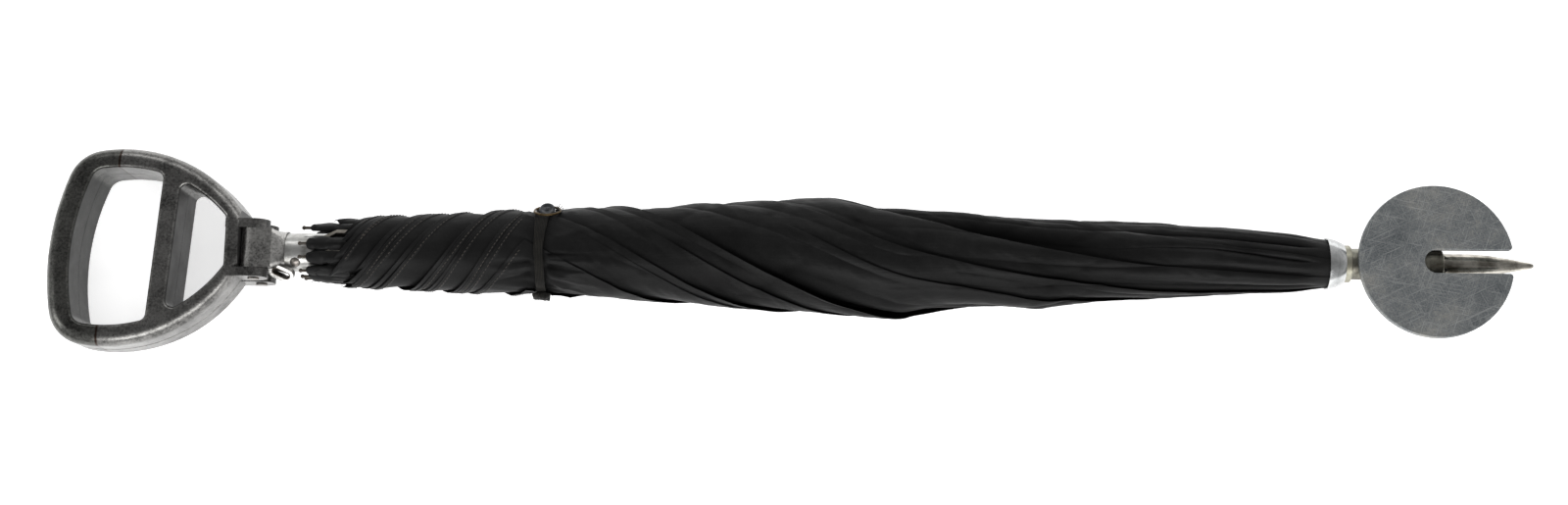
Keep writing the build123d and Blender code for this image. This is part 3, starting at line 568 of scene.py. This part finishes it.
def hollow(s):
    """Radius of the space for the closed ribs, in mm."""
    return 14.55 + 3.15 * ease(np.clip(s, 0, 110) / 110)


def plain_radius(s, angle):
    """Radius of the bundle without folds, in mm, at a distance and an angle from +Z towards +Y."""
    y = np.sin(angle)
    wide = np.where(y > 0, WIDTH_UP(s), WIDTH_DOWN(s))
    return 1 / np.sqrt((y / wide) ** 2 + (np.cos(angle) / HEIGHT(s)) ** 2)


def envelope(s, angle, settings):
    """Outer radius of the wound cloth, in mm."""
    z = np.cos(angle)
    radius = plain_radius(s, angle)
    # Long soft folds and creases that follow the winding, and short ones across it
    calm = ease((s - 8) / 60) * (0.22 + 0.78 * ease((520 - s) / 75))
    wound = angle - np.radians(TURN_AT(s))
    radius = radius + settings.fold_depth * 1000 * calm * cell_noise(wound, s / 150, 6, 3)
    radius = radius + settings.crease_depth * 1000 * calm * crease(wound + s / 900, s / 95, 13, 8)
    radius = radius + settings.crease_depth * 500 * calm * crease(angle + s / 42, s / 48, 9, 21)
    radius = radius + settings.crease_depth * 180 * calm**2 * cell_noise(wound - s / 70, s / 9, 42, 5)
    # Pleats gathered at the crown
    gather = np.exp(-np.clip(s, 0, None) / 125) * ease(s / 18)
    wander = angle - 0.002 * s + 0.16 * cell_noise(angle, s / 70, 5, 31)
    radius = radius + settings.pleat_depth * 1000 * gather * (np.abs(np.sin(5.5 * wander)) ** 0.48 - 0.78)
    # The strap nips the cloth, which puckers away from it
    d = s - STRAP_S
    nip = np.exp(-((np.abs(d) / 9) ** 2))
    pucker = np.exp(-np.abs(d) / 24) * (1 - np.exp(-((np.abs(d) / 5) ** 2)))
    radius = radius - 1.9 * nip
    radius = radius - 1.3 * pucker * crease(angle - 0.012 * np.abs(d), d / 60, 17, 14)
    # Crushed folds that run from the strap
    for way, place, run, width, height in STRAP_FOLDS:
        beyond = np.clip(d * way, 0, None)
        beside = angle_between(angle, place + run * beyond) / width
        fold = height * np.exp(-(beside**2))
        radius = radius + fold * ease((beyond - 3) / 4) * np.exp(-((beyond / 23) ** 2))
    # The lowest cloth lies on the floor, and leaves room there for the strap
    floor = (AXIS_Z * 1000 - CLOTH_LIFT - 1.6 * nip) / np.maximum(-z, 1e-3)
    return np.where(z < 0, soft_least(radius, floor), radius)


def angle_between(angle, target):
    """The signed angle from target, within half a turn."""
    return (angle - target + math.pi) % TURN - math.pi


def soft_least(a, b):
    """The lesser of two values, rounded where they meet and never above either."""
    k = 0.5
    h = np.clip(0.5 + 0.5 * (b - a) / k, 0, 1)
    return np.minimum(b * (1 - h) + a * h - k * h * (1 - h), np.minimum(a, b))


def edge_angle(flap, s):
    """Angle of a flap's free edge, in degrees, between the crown and its corner."""
    crown_angle, _, seen = FLAPS[flap]
    start = seen - CROWN_TURN
    regular = start + (crown_angle + CROWN_LEAD - start + 180) % 360 - 180 + TURN_AT(s) + CROWN_TURN
    # The edges are regular at the crown, and reach their own places between 60 and 230 mm
    follow = ease((s - 60) / 170)
    return regular * (1 - follow) + (seen + TURN_AT(s)) * follow


def rib_angle(flap, s):
    """Angle of a rib, in degrees; it settles from its crown place to its tip place."""
    crown_angle, tip_angle, _ = FLAPS[flap]
    return crown_angle + (tip_angle - crown_angle) * ease((s - 320) / 300)


def flap_root(flap, s):
    """Angle where a flap's outer layer leaves its rib."""
    spare = edge_angle(flap, CORNER_S) - CORNER_WRAP - rib_angle(flap, CORNER_S)
    lap = -360 * round(spare / -360)
    return rib_angle(flap, s) + lap


def flap_radius(s, angle, share, wrap, settings):
    """Radius on a flap at a share of its wrap, so that each flap lies over the next one."""
    outer = envelope(s, angle, settings)
    inner = hollow(s)
    room = np.maximum(outer - inner, 0.6)
    # The step to the next flap is lower near the hems, and takes 0.4 of the room at most
    step = np.minimum(settings.flap_step * 1000 * (1 - 0.35 * ease((s - 470) / 50)), 0.4 * room)
    part = np.clip(GORE_ANGLE / np.maximum(wrap, 60), 0.05, 0.75)
    power = np.clip(np.log(step / room) / np.log(part), 0.8, 4.0)
    return outer - room * (1 - share) ** power


def place_of(s, angle, radius):
    """Points in metres from distance, angle and radius in mm."""
    x = np.broadcast_to(CROWN_X - s / 1000, np.shape(radius))
    return np.stack([x, radius * np.sin(angle) / 1000, AXIS_Z + radius * np.cos(angle) / 1000], axis=-1)


def flap_layer(flap, stations, columns, outer, settings):
    """Points of one layer of a flap, the cloth's width across in mm, and how deep it lies in folds, for
    the painted shade there.
    """
    s = stations[:, None]
    root = flap_root(flap, s)
    corner_wrap = edge_angle(flap, CORNER_S) - flap_root(flap, CORNER_S)
    edge = np.where(s <= CORNER_S, edge_angle(flap, np.minimum(s, CORNER_S)), 0)
    wrap = edge - root
    start = root if outer else root + UNDER_START
    t = np.clip((s - CORNER_S) / (hem_end(flap) - CORNER_S), 0, 1)
    fall = hem_fall(t)
    start_corner = corner_wrap if outer else corner_wrap - UNDER_START
    hem = start + (start_corner + hem_ripple(flap, s, t)) * fall
    limit = np.where(s <= CORNER_S, edge, hem)
    # The columns stand closer together towards the free edge
    u = 1 - (1 - np.linspace(0, 1, columns)[None, :]) ** 2.2
    angle_deg = start + (limit - start) * u
    whole = np.where(s <= CORNER_S, wrap, np.maximum(corner_wrap * fall, LEAST_WRAP))
    share = np.clip(1 - (limit - angle_deg) / whole, 0, 1)
    angle = np.radians(angle_deg)
    radius = flap_radius(s, angle, share, whole, settings)
    # The layers lie 0.4 mm apart and meet at the free edge
    gap = 0.2 * np.sqrt(np.clip(1 - u**24, 0, 1)) * np.clip((radius - hollow(s)) / 3, 0, 1)
    radius = radius + gap if outer else radius - gap
    # The hem is turned over twice, which makes its edge thicker
    from_edge = (limit - angle_deg) * BUNDLE_RADIUS * math.pi / 180
    radius = radius + 0.42 * ease((5.0 - from_edge) / 0.9) * ease(from_edge / 0.5) * ease(t * 12)
    if not outer:
        under_share = np.clip(share - UNDER_START / np.maximum(whole, 1), 0, 1)
        under = flap_radius(s, angle, under_share, whole, settings)
        lift = ease((angle_deg - start) / 25)
        radius = under + (radius - under) * lift
    steps = np.diff(angle, axis=1) * BUNDLE_RADIUS
    across = np.cumsum(np.concatenate([np.zeros((len(stations), 1)), steps], axis=1), axis=1)
    # How deep the cloth lies under its plain outline, which its finish paints as shade
    fold_shade = np.clip((plain_radius(s, angle) - radius) / 5.0, 0, 1)
    return place_of(s, angle, radius), across, fold_shade


def hem_fall(t):
    """How much of the wrap at its corner a flap still has, at a share of the way along its hem."""
    return 1 - t**1.04


def hem_end(flap):
    """Distance of a flap's end from the crown wire; no two gores are folded quite alike."""
    return HEM_END_S + 7 * math.sin(2.4 * flap + 1)


def hem_ripple(flap, s, t):
    """How far a hem wavers from its straight run, in degrees."""
    return 20 * t * (1 - t) * np.sin(s / 13.0 + 2.1 * flap)


def weave_map(obj, coordinates):
    """Gives a cloth its own UV map, in metres."""
    layer = obj.data.uv_layers.new(name="cloth")
    index = np.empty(len(obj.data.loops), int)
    obj.data.loops.foreach_get("vertex_index", index)
    layer.data.foreach_set("uv", coordinates[index].ravel())


def gore(flap, settings, material):
    """One gore of the canopy, folded in half and wound round the ribs."""
    body = np.concatenate([np.linspace(-6, 30, 12), np.linspace(34, CORNER_S, settings.rows)])
    hem = np.linspace(CORNER_S, hem_end(flap), settings.rows // 3)[1:]
    stations = np.concatenate([body, hem])
    columns = settings.columns
    under = columns // 2
    outer, across_out, fold_shade_out = flap_layer(flap, stations, columns, True, settings)
    inner, across_in, fold_shade_in = flap_layer(flap, stations, under, False, settings)
    points = np.concatenate([outer.reshape(-1, 3), inner.reshape(-1, 3)])
    rows = len(stations)
    faces = grid_faces(rows, columns) + grid_faces(rows, under, rows * columns, flip=True)
    back = 2 * across_out[:, -1:] - across_in
    uv = []
    for width in (across_out, back):
        uv.append(np.stack(np.broadcast_arrays(stations[:, None], width), axis=-1).reshape(-1, 2))
    obj = mesh_object(f"canopy_gore_{flap + 1}", points, faces, material)
    weave_map(obj, np.concatenate(uv) / 1000)
    # How deep the cloth lies in folds, for the painted shade of its finish
    fold_shade = obj.data.attributes.new("fold_shade", "FLOAT", "POINT")
    fold_shade.data.foreach_set("value", np.concatenate([fold_shade_out.ravel(), fold_shade_in.ravel()]).astype(np.float32))
    work = bmesh.new()
    work.from_mesh(obj.data)
    # The two layers are sewn together along the flap's free edge
    first_under = rows * columns
    fold = []
    for vert in work.verts:
        if vert.index < first_under:
            at_edge = vert.index % columns == columns - 1
        else:
            at_edge = (vert.index - first_under) % under == under - 1
        if at_edge:
            fold.append(vert)
    bmesh.ops.remove_doubles(work, verts=fold, dist=1e-6)
    work.to_mesh(obj.data)
    work.free()
    return obj


def tie_strap(settings, material):
    """The strap round the wound cloth, wide at its button and narrow behind."""
    rows, columns = 180, 20
    turns = np.linspace(0, TURN, rows, endpoint=False)[:, None]
    ring = np.linspace(0, TURN, columns, endpoint=False)[None, :]
    # Half its width, in mm
    wide = 2.9 + 1.7 * np.exp(-((angle_between(turns, FASTENER) / 0.6) ** 2))
    wide = wide + 0.25 * cell_noise(turns, 0.5, 14, 2)
    across = wide * np.sign(np.cos(ring)) * np.abs(np.cos(ring)) ** 0.35
    rise = 0.5 + 0.5 * np.sign(np.sin(ring)) * np.abs(np.sin(ring)) ** 0.5
    s = STRAP_S + across + 0.5 * cell_noise(turns, 0.2, 9, 4)
    radius = envelope(s, turns, settings) + 0.3 + settings.strap_thickness * 1000 * rise
    points = place_of(s, turns, radius).reshape(-1, 3)
    return mesh_object("tie_strap_band", points, ring_faces(rows, columns, True), material)


def ring_faces(rows, columns, closed):
    """Quads of a grid whose rows are rings; closed joins the last row to the first."""
    faces = []
    for i in range(rows if closed else rows - 1):
        for j in range(columns):
            a, b = i * columns + j, i * columns + (j + 1) % columns
            c = (i + 1) % rows * columns
            faces.append((a, b, c + (j + 1) % columns, c + j))
    return faces


def keeper_tab(settings, material):
    """The folded cloth tab that holds the strap, limp and a little crumpled."""
    rows, columns = 26, 28
    centre = middle("strap_keeper")
    middle_angle = math.atan2(centre.y, centre.z - AXIS_Z)
    along = np.linspace(-1, 1, rows)[:, None]
    ring = np.linspace(0, TURN, columns, endpoint=False)[None, :]
    body = (1 - np.abs(along) ** 4) ** 0.3
    across = np.sign(np.cos(ring)) * np.abs(np.cos(ring)) ** 0.5 * body
    rise = (0.5 + 0.5 * np.sin(ring)) * body
    half_length, half_width, reach = 5.7, 5.1, 27
    s = (CROWN_X - centre.x) * 1000 + half_length * along + 0.4 * cell_noise(ring, along * 3, 7, 9)
    # The limp tab has slid a third of a radian round the bundle from its node's place
    turn = middle_angle + 0.36 + across * half_width / reach
    turn = turn + 0.02 * cell_noise(ring, along * 2, 5, 12)
    crumple = 1 + 0.45 * crease(ring, along * 2.5, 6, 17)
    lift, thick = 1.4, 3.5
    radius = envelope(s, turn, settings) + lift + thick * rise * crumple
    points = place_of(s, turn, radius).reshape(-1, 3)
    return mesh_object("strap_keeper_tab", points, ring_faces(rows, columns, False), material)


def loose_button(material):
    """The round button with its sunk middle, tilted on its loose thread."""
    low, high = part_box("strap_button")
    # Radius and height of the button's outline, from the middle of its face round to its back
    profile = (
        (0.02, 1.3),
        (1.6, 1.3),
        (2.9, 1.5),
        (3.6, 2.1),
        (4.3, 2.4),
        (4.9, 2.1),
        (5.3, 1.4),
        (5.0, 0.6),
        (4.2, 0.1),
        (0.02, 0.0),
    )
    size = (high[0] - low[0]) * 500 / max(r for r, h in profile)
    around, stitch_rows, stitch_sides = 48, 9, 8
    turns = np.linspace(0, TURN, around, endpoint=False)
    flat = [(r * math.cos(a), r * math.sin(a), h) for r, h in profile for a in turns]
    faces = ring_faces(len(profile), around, False)
    # Two crossed stitches over the middle, each a round strand that arches up
    arm, thick = 1.1, 0.28
    for slope in (-1, 1):
        first = len(flat)
        for i in np.linspace(-1, 1, stitch_rows):
            x, y, h = arm * i, arm * slope * i, 1.3 + 0.5 * (1 - i * i)
            for a in np.linspace(0, TURN, stitch_sides, endpoint=False):
                aside = thick * math.cos(a)
                flat.append((x - slope * aside * 0.7, y + aside * 0.7, h + thick * math.sin(a)))
        quads = ring_faces(stitch_rows, stitch_sides, False)
        faces += [tuple(first + v for v in face) for face in quads]
    tilt = FASTENER - BUTTON_TILT
    across = Vector((0, math.cos(tilt), -math.sin(tilt)))
    out = Vector((0, math.sin(tilt), math.cos(tilt)))
    centre = middle("strap_button") + out * 0.0004
    points = [centre + (Vector((x, 0, 0)) + across * y + out * h) * size / 1000 for x, y, h in flat]
    return mesh_object("loose_strap_button", points, faces, material)


def tip_sleeve(index, material):
    """The little sewn pocket at a rib's tip, crumpled round the rib's end."""
    low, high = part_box(f"rib_tip_{index}")
    y, z = (low[1] + high[1]) / 2, (low[2] + high[2]) / 2 - AXIS_Z
    angle, reach = math.atan2(y, z), math.hypot(y, z)
    rng = np.random.default_rng(40 + index)
    start = low[0] + 0.0042 + rng.uniform(0, 0.0012)
    rows, columns = 34, 28
    t = np.linspace(0, 1, rows)[:, None]
    ring = np.linspace(0, TURN, columns, endpoint=False)[None, :]
    open_end = 0.25 + 0.75 * np.minimum(t / 0.06, 1) ** 0.5
    # Half its width and height, in mm; its outer end is drawn in
    wide = (3.1 + 1.5 * ease(t * 3)) * open_end
    tall = (1.9 + 0.9 * ease(t * 2)) * open_end
    rough = 1 + 0.22 * crease(ring, t * 3 + index, 7, index) + 0.07 * cell_noise(ring, t * 11, 11, index)
    side = wide * np.cos(ring) * rough
    up = tall * np.sin(ring) * rough
    x = start + t * rng.uniform(0.026, 0.033)
    sag = 0.35 * np.sin(3 * t + index)
    radial = reach * 1000 + up + sag
    turn = angle + side / (reach * 1000)
    height = AXIS_Z + radial * np.cos(turn) / 1000
    points = np.stack([x + 0 * ring, radial * np.sin(turn) / 1000, height], axis=-1).reshape(-1, 3)
    return mesh_object(f"rib_sleeve_{index}", points, ring_faces(rows, columns, False), material)


def loose_threads(material):
    """Frayed ends of thread by the button and at the mouths of the sleeves."""
    rng = np.random.default_rng(11)
    roots = [middle("strap_button") + Vector((0.0055, 0, 0))] * 14
    for index in range(1, GORES + 1):
        roots += [middle(f"rib_tip_{index}") + Vector((0.005, 0, 0))] * 2
    rows, sides, thick = 9, 5, 0.0002
    t = np.linspace(0, 1, rows)[:, None, None]
    ring = np.linspace(0, TURN, sides, endpoint=False)[None, :, None]
    points, faces = [], []
    for root in roots:
        out = Vector((0, root.y, root.z - AXIS_Z)).normalized()
        aside = Vector((1, 0, 0)).cross(out)
        way = Vector((rng.normal(0.5, 0.7), 0, 0)) + out * rng.uniform(0.2, 0.9)
        way = (way + aside * rng.normal(0, 0.7)).normalized()
        bend = way.orthogonal().normalized()
        other = way.cross(bend)
        length, curl = rng.uniform(0.0025, 0.0055), rng.uniform(-0.0012, 0.0012)
        line = np.array(root) + np.array(way) * length * t + np.array(bend) * curl * np.sin(4 * t)
        tube = line + thick * (np.array(bend) * np.cos(ring) + np.array(other) * np.sin(ring))
        quads = ring_faces(rows, sides, False)
        faces += [tuple(len(points) + v for v in face) for face in quads]
        points += [(x, y, max(z, FLOOR_MARGIN)) for x, y, z in tube.reshape(-1, 3)]
    return mesh_object("loose_threads", points, faces, material)


def hem_line(flap, settings):
    """Points of a stitch line inside a flap's hem, a little above the cloth and short of its ends."""
    s = np.linspace(CORNER_S + 3, hem_end(flap) - 12, 60)
    root = flap_root(flap, s)
    wrap = edge_angle(flap, CORNER_S) - flap_root(flap, CORNER_S)
    t = (s - CORNER_S) / (hem_end(flap) - CORNER_S)
    fall = hem_fall(t)
    angle = np.radians(root + (wrap + hem_ripple(flap, s, t)) * fall - STITCH_INSET)
    whole = np.maximum(wrap * fall, LEAST_WRAP)
    radius = flap_radius(s, angle, 1 - STITCH_INSET / whole, whole, settings) + STITCH_LIFT
    return place_of(s, angle, radius)


def stitch_nodes(material):
    """Node tree that lays stitches along every line of a mesh."""
    tree = bpy.data.node_groups.new("Stitches", "GeometryNodeTree")
    tree.interface.new_socket("Geometry", in_out="INPUT", socket_type="NodeSocketGeometry")
    for name, value in (("Spacing", 0.0026), ("Stitch Length", 0.0019), ("Stitch Width", 0.0005)):
        socket = tree.interface.new_socket(name, in_out="INPUT", socket_type="NodeSocketFloat")
        socket.default_value = value
    tree.interface.new_socket("Geometry", in_out="OUTPUT", socket_type="NodeSocketGeometry")
    given = add_node(tree, "NodeGroupInput").outputs
    curve = add_node(tree, "GeometryNodeMeshToCurve", {"Mesh": given["Geometry"]})
    inputs = {"Curve": curve, "Length": given["Spacing"]}
    line = add_node(tree, "GeometryNodeResampleCurve", inputs, mode="LENGTH")
    inputs = {"X": given["Stitch Length"], "Y": given["Stitch Width"], "Z": given["Stitch Width"]}
    size = add_node(tree, "ShaderNodeCombineXYZ", inputs)
    bead = add_node(tree, "GeometryNodeMeshUVSphere", {"Segments": 8, "Rings": 6, "Radius": 0.5})
    tangent = add_node(tree, "GeometryNodeInputTangent")
    turn = add_node(tree, "FunctionNodeAlignRotationToVector", {"Vector": tangent}, axis="X")
    inputs = {0: (-0.12, -0.12, -0.12), 1: (0.12, 0.12, 0.12), "Seed": 4}
    lean = add_node(tree, "FunctionNodeRandomValue", inputs, data_type="FLOAT_VECTOR")
    inputs = {"Points": line, "Instance": bead, "Rotation": turn, "Scale": size}
    beads = add_node(tree, "GeometryNodeInstanceOnPoints", inputs)
    inputs = {"Instances": beads, "Rotation": lean}
    uneven = add_node(tree, "GeometryNodeRotateInstances", inputs)
    real = add_node(tree, "GeometryNodeRealizeInstances", {"Geometry": uneven})
    dressed = add_node(tree, "GeometryNodeSetMaterial", {"Geometry": real, "Material": material})
    add_node(tree, "NodeGroupOutput", {"Geometry": dressed})
    return tree


def stitches(settings, material):
    """Stitches along the hems of all gores, made by geometry nodes into one mesh."""
    points, edges = [], []
    for flap in range(GORES):
        line = hem_line(flap, settings)
        first = len(points)
        points += [tuple(p) for p in line]
        edges += [(first + i, first + i + 1) for i in range(len(line) - 1)]
    guide_mesh = bpy.data.meshes.new("hem_lines")
    guide_mesh.from_pydata(points, edges, [])
    guide = bpy.data.objects.new("hem_lines", guide_mesh)
    bpy.context.collection.objects.link(guide)
    tree = stitch_nodes(material)
    modifier = guide.modifiers.new("Stitches", "NODES")
    modifier.node_group = tree
    spacing = next(item for item in tree.interface.items_tree if item.name == "Spacing")
    modifier[spacing.identifier] = settings.stitch_spacing
    context = bpy.context.evaluated_depsgraph_get()
    made = bpy.data.meshes.new_from_object(guide.evaluated_get(context))
    guide.modifiers.clear()
    bpy.data.objects.remove(guide)
    made.name = "hem_stitches"
    for vertex in made.vertices:
        vertex.co.z = max(vertex.co.z, FLOOR_MARGIN)
    obj = bpy.data.objects.new("hem_stitches", made)
    bpy.context.collection.objects.link(obj)
    return obj


# ---- Settings and operators ----


def colour_setting(name, description, colour):
    """A colour that a user may change."""
    return FloatVectorProperty(
        name=name,
        description=description,
        subtype="COLOR",
        min=0,
        max=1,
        default=to_linear(colour)[:3],
    )


def length_setting(name, description, metres):
    """A length that a user may change."""
    return FloatProperty(name=name, description=description, default=metres, unit="LENGTH")


def power_setting(name, description, watts):
    """A lamp's power that a user may change."""
    return FloatProperty(name=name, description=description, default=watts, unit="POWER")


class FinishSettings(bpy.types.PropertyGroup):
    """Colours of the main finishes."""

    frame_colour: colour_setting("Frame", "Colour of the cast frame where it is rubbed", "#7d7c7a")
    bow_colour: colour_setting("Bow", "Colour of the cast bow where it is rubbed", "#62625f")
    disc_colour: colour_setting("Disc", "Middle colour of the ground disc", "#6f706f")
    cloth_colour: colour_setting("Cloth", "Colour of the umbrella cloth", "#101010")
    strap_colour: colour_setting("Strap", "Colour of the tie strap on its ridges", "#1b1914")


class StageSettings(bpy.types.PropertyGroup):
    """Sizes and powers of the stage."""

    lens: FloatProperty(
        name="Lens", description="Focal length of the camera", default=51.25, unit="CAMERA"
    )
    room: FloatProperty(name="Room light", description="Strength of the white room", default=1.1, min=0)
    near_lamp: power_setting("Near lamp", "Power of the near softbox", 22)
    far_lamp: power_setting("Far lamp", "Power of the far softbox", 7)
    end_lamp: power_setting("End lamp", "Power of the end softbox", 4)


class CanopySettings(bpy.types.PropertyGroup):
    """Sizes of the wound cloth."""

    rows: IntProperty(name="Rows", description="Rows of cloth points along a gore", default=300, min=30)
    columns: IntProperty(name="Columns", description="Cloth points across one layer", default=110, min=12)
    flap_step: length_setting("Flap step", "Height of a fold's edge over the next flap", 0.0029)
    fold_depth: length_setting("Fold depth", "Height of the long soft folds", 0.0016)
    crease_depth: length_setting("Crease depth", "Height of the creases", 0.0011)
    pleat_depth: length_setting("Pleat depth", "Height of the pleats at the crown", 0.0039)
    strap_thickness: length_setting("Strap thickness", "Thickness of the tie strap", 0.001)
    stitch_spacing: length_setting("Stitch spacing", "Distance between hem stitches", 0.0026)
    hem_width: length_setting("Hem width", "Width of a gore at its hem, laid flat", 0.38)
    gore_height: length_setting("Gore height", "Height of a gore, laid flat", 0.60)


def finish_called(name):
    """A finish made earlier; without it the step can't go on."""
    finish = bpy.data.materials.get(name)
    if finish is None:
        raise RuntimeError(f"The finish '{name}' is missing: give the frame its finishes first")
    return finish


class SEATSTICK_OT_finishes(bpy.types.Operator):
    """Gives each node of the frame its finish"""

    bl_idname = "seatstick.finishes"
    bl_label = "Give the frame its finishes"

    def execute(self, context):
        own = context.scene.seat_stick_finishes
        made = {slot: make(own) for slot, make in FINISHES.items()}
        slots = {part["node"]: part["material_slot"] for part in frame["record"]["subparts"]}
        missing = sorted(set(slots.values()) - set(made))
        if missing:
            raise RuntimeError(f"No finish is written for {', '.join(missing)}")
        for node, obj in frame["nodes"].items():
            finish = OWN_FINISHES[node](own) if node in OWN_FINISHES else made[slots[node]]
            obj.data.materials.clear()
            obj.data.materials.append(finish)
        return {"FINISHED"}


class SEATSTICK_OT_canopy(bpy.types.Operator):
    """Winds the eight gores round the closed ribs"""

    bl_idname = "seatstick.canopy"
    bl_label = "Wind the canopy"

    def execute(self, context):
        settings = context.scene.seat_stick_canopy
        cloth = finish_called(CLOTH)
        for flap in range(GORES):
            obj = gore(flap, settings, cloth)
            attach(obj, "shaft")
            if flap == 0:
                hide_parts("canopy")
        return {"FINISHED"}


class SEATSTICK_OT_strap(bpy.types.Operator):
    """Ties the strap with its keeper tab and its button"""

    bl_idname = "seatstick.strap"
    bl_label = "Tie the strap"

    def execute(self, context):
        settings = context.scene.seat_stick_canopy
        webbing = finish_called(STRAP)
        strap = tie_strap(settings, webbing)
        tab = keeper_tab(settings, webbing)
        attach(strap, "shaft")
        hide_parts("tie_strap")
        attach(tab, "shaft")
        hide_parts("strap_keeper")
        button = loose_button(finish_called(BUTTON))
        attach(button, "shaft")
        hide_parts("strap_button")
        return {"FINISHED"}


class SEATSTICK_OT_sleeves(bpy.types.Operator):
    """Sews the little pockets over the rib tips"""

    bl_idname = "seatstick.sleeves"
    bl_label = "Add the tip sleeves"

    def execute(self, context):
        cloth = finish_called(CLOTH)
        for index in range(1, GORES + 1):
            sleeve = tip_sleeve(index, cloth)
            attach(sleeve, "shaft")
        return {"FINISHED"}


class SEATSTICK_OT_threads(bpy.types.Operator):
    """Adds the hem stitches and the loose threads"""

    bl_idname = "seatstick.threads"
    bl_label = "Add stitches and threads"

    def execute(self, context):
        settings = context.scene.seat_stick_canopy
        cloth = finish_called(CLOTH)
        thread = sewing_thread("Sewing thread")
        for made in (stitches(settings, thread), loose_threads(cloth)):
            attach(made, "shaft")
        return {"FINISHED"}


CAMERA_PLACE = (PIN_X + 0.35812, -0.24784, AXIS_Z + 1.36097)
CAMERA_LEAN = (0.18288, 0.0201, 0.0147)  # radians about X, Y and Z, from straight down


def pale_floor():
    """A wide matt floor, white in the camera's eye."""
    material, tree = new_material("Plain pale floor")
    # The camera and the metal's reflections see the floor a little brighter, so that it stays
    # white inside the handle, while its shadow and the light on the object stay.
    rays = add_node(tree, "ShaderNodeLightPath").outputs
    inputs = {0: rays["Is Glossy Ray"], 1: rays["Is Transmission Ray"]}
    mirrored = add_node(tree, MATHS, inputs, operation="MAXIMUM")
    seen = add_node(tree, MATHS, {0: rays["Is Camera Ray"], 1: mirrored}, operation="MAXIMUM")
    glow = add_node(tree, RANGE, {"Value": seen, "To Min": 0.0, "To Max": 0.5})
    inputs = {
        "Base Color": (0.9, 0.9, 0.9, 1),
        "Roughness": 0.9,
        "Emission Color": to_linear("#ffffff"),
        "Emission Strength": glow,
    }
    surface(tree, inputs)
    reach = 4
    corners = [(-reach, -reach, 0), (reach, -reach, 0), (reach, reach, 0), (-reach, reach, 0)]
    return mesh_object("floor", corners, [(0, 1, 2, 3)], material, False)


def studio_room(strength):
    """The world: a white room whose ceiling is dim in the metal's reflections."""
    world = bpy.data.worlds.new("Studio")
    world.use_nodes = True
    sky = world.node_tree
    mirror = add_node(sky, "ShaderNodeLightPath").outputs["Is Glossy Ray"]
    way = add_node(sky, "ShaderNodeTexCoord").outputs["Generated"]
    up = add_node(sky, "ShaderNodeSeparateXYZ", {"Vector": way}).outputs["Z"]
    dim = add_node(sky, RANGE, {"Value": up, "To Min": 0.8, "To Max": 0.21})
    mixed = add_node(sky, MIX, {0: mirror, 2: strength, 3: dim})
    background = sky.nodes["Background"].inputs
    background["Color"].default_value = (1, 1, 1, 1)
    sky.links.new(mixed.outputs[0], background["Strength"])
    return world


def softbox(name, place, size, power):
    """A rectangular lamp aimed at the middle of the floor."""
    light = bpy.data.lights.new(name, "AREA")
    light.shape = "RECTANGLE"
    light.size, light.size_y = size
    light.energy = power
    lamp = bpy.data.objects.new(name, light)
    lamp.location = place
    lamp.rotation_euler = (-Vector(place)).to_track_quat("-Z", "Y").to_euler()
    return lamp


class SEATSTICK_OT_stage(bpy.types.Operator):
    """Sets up the floor, the soft lamps and the camera"""

    bl_idname = "seatstick.stage"
    bl_label = "Set up the stage"

    def execute(self, context):
        scene = context.scene
        stage = scene.seat_stick_stage
        scene.view_settings.view_transform = "Standard"
        pale_floor()
        scene.world = studio_room(stage.room)
        for name, place, size, power in (
            ("Softbox, near side", (0.1, -1.3, 0.9), (2.0, 0.6), stage.near_lamp),
            ("Softbox, far side", (0.0, 1.3, 1.0), (2.0, 0.4), stage.far_lamp),
            ("Softbox, handle end", (-1.4, -0.3, 0.8), (0.5, 0.7), stage.end_lamp),
        ):
            lamp = softbox(name, place, size, power)
            scene.collection.objects.link(lamp)
        camera_data = bpy.data.cameras.new("Camera")
        camera_data.lens = stage.lens
        camera_data.sensor_width = 36.0
        camera = bpy.data.objects.new("Camera", camera_data)
        camera.location = CAMERA_PLACE
        camera.rotation_euler = Euler(CAMERA_LEAN)
        scene.collection.objects.link(camera)
        scene.camera = camera
        return {"FINISHED"}


class SEATSTICK_PT_panel(bpy.types.Panel):
    """Lists the steps of the seat stick"""

    bl_label = "Umbrella Seat Stick"
    bl_idname = "SEATSTICK_PT_panel"
    bl_space_type = "VIEW_3D"
    bl_region_type = "UI"
    bl_category = "Seat Stick"

    def draw(self, context):
        for kind in OPERATORS:
            self.layout.operator(kind.bl_idname)
        for place in SETTINGS:
            group = getattr(context.scene, place)
            for name in group.bl_rna.properties.keys():
                if name not in ("rna_type", "name"):
                    self.layout.prop(group, name)


OPERATORS = (
    SEATSTICK_OT_finishes,
    SEATSTICK_OT_canopy,
    SEATSTICK_OT_strap,
    SEATSTICK_OT_sleeves,
    SEATSTICK_OT_threads,
    SEATSTICK_OT_stage,
)
SETTINGS = {
    "seat_stick_finishes": FinishSettings,
    "seat_stick_canopy": CanopySettings,
    "seat_stick_stage": StageSettings,
}
CLASSES = (*SETTINGS.values(), *OPERATORS, SEATSTICK_PT_panel)


def register():
    """Adds the classes and the settings to Blender."""
    for kind in CLASSES:
        bpy.utils.register_class(kind)
    for place, group in SETTINGS.items():
        setattr(bpy.types.Scene, place, PointerProperty(type=group))


def unregister():
    """Removes the classes and the settings."""
    for place in SETTINGS:
        delattr(bpy.types.Scene, place)
    for kind in reversed(CLASSES):
        bpy.utils.unregister_class(kind)


def main():
    """Dresses the frame."""
    register()
    bpy.ops.seatstick.finishes()
    bpy.ops.seatstick.canopy()
    bpy.ops.seatstick.strap()
    bpy.ops.seatstick.sleeves()
    bpy.ops.seatstick.threads()
    bpy.ops.seatstick.stage()


if __name__ == "__main__":
    main()
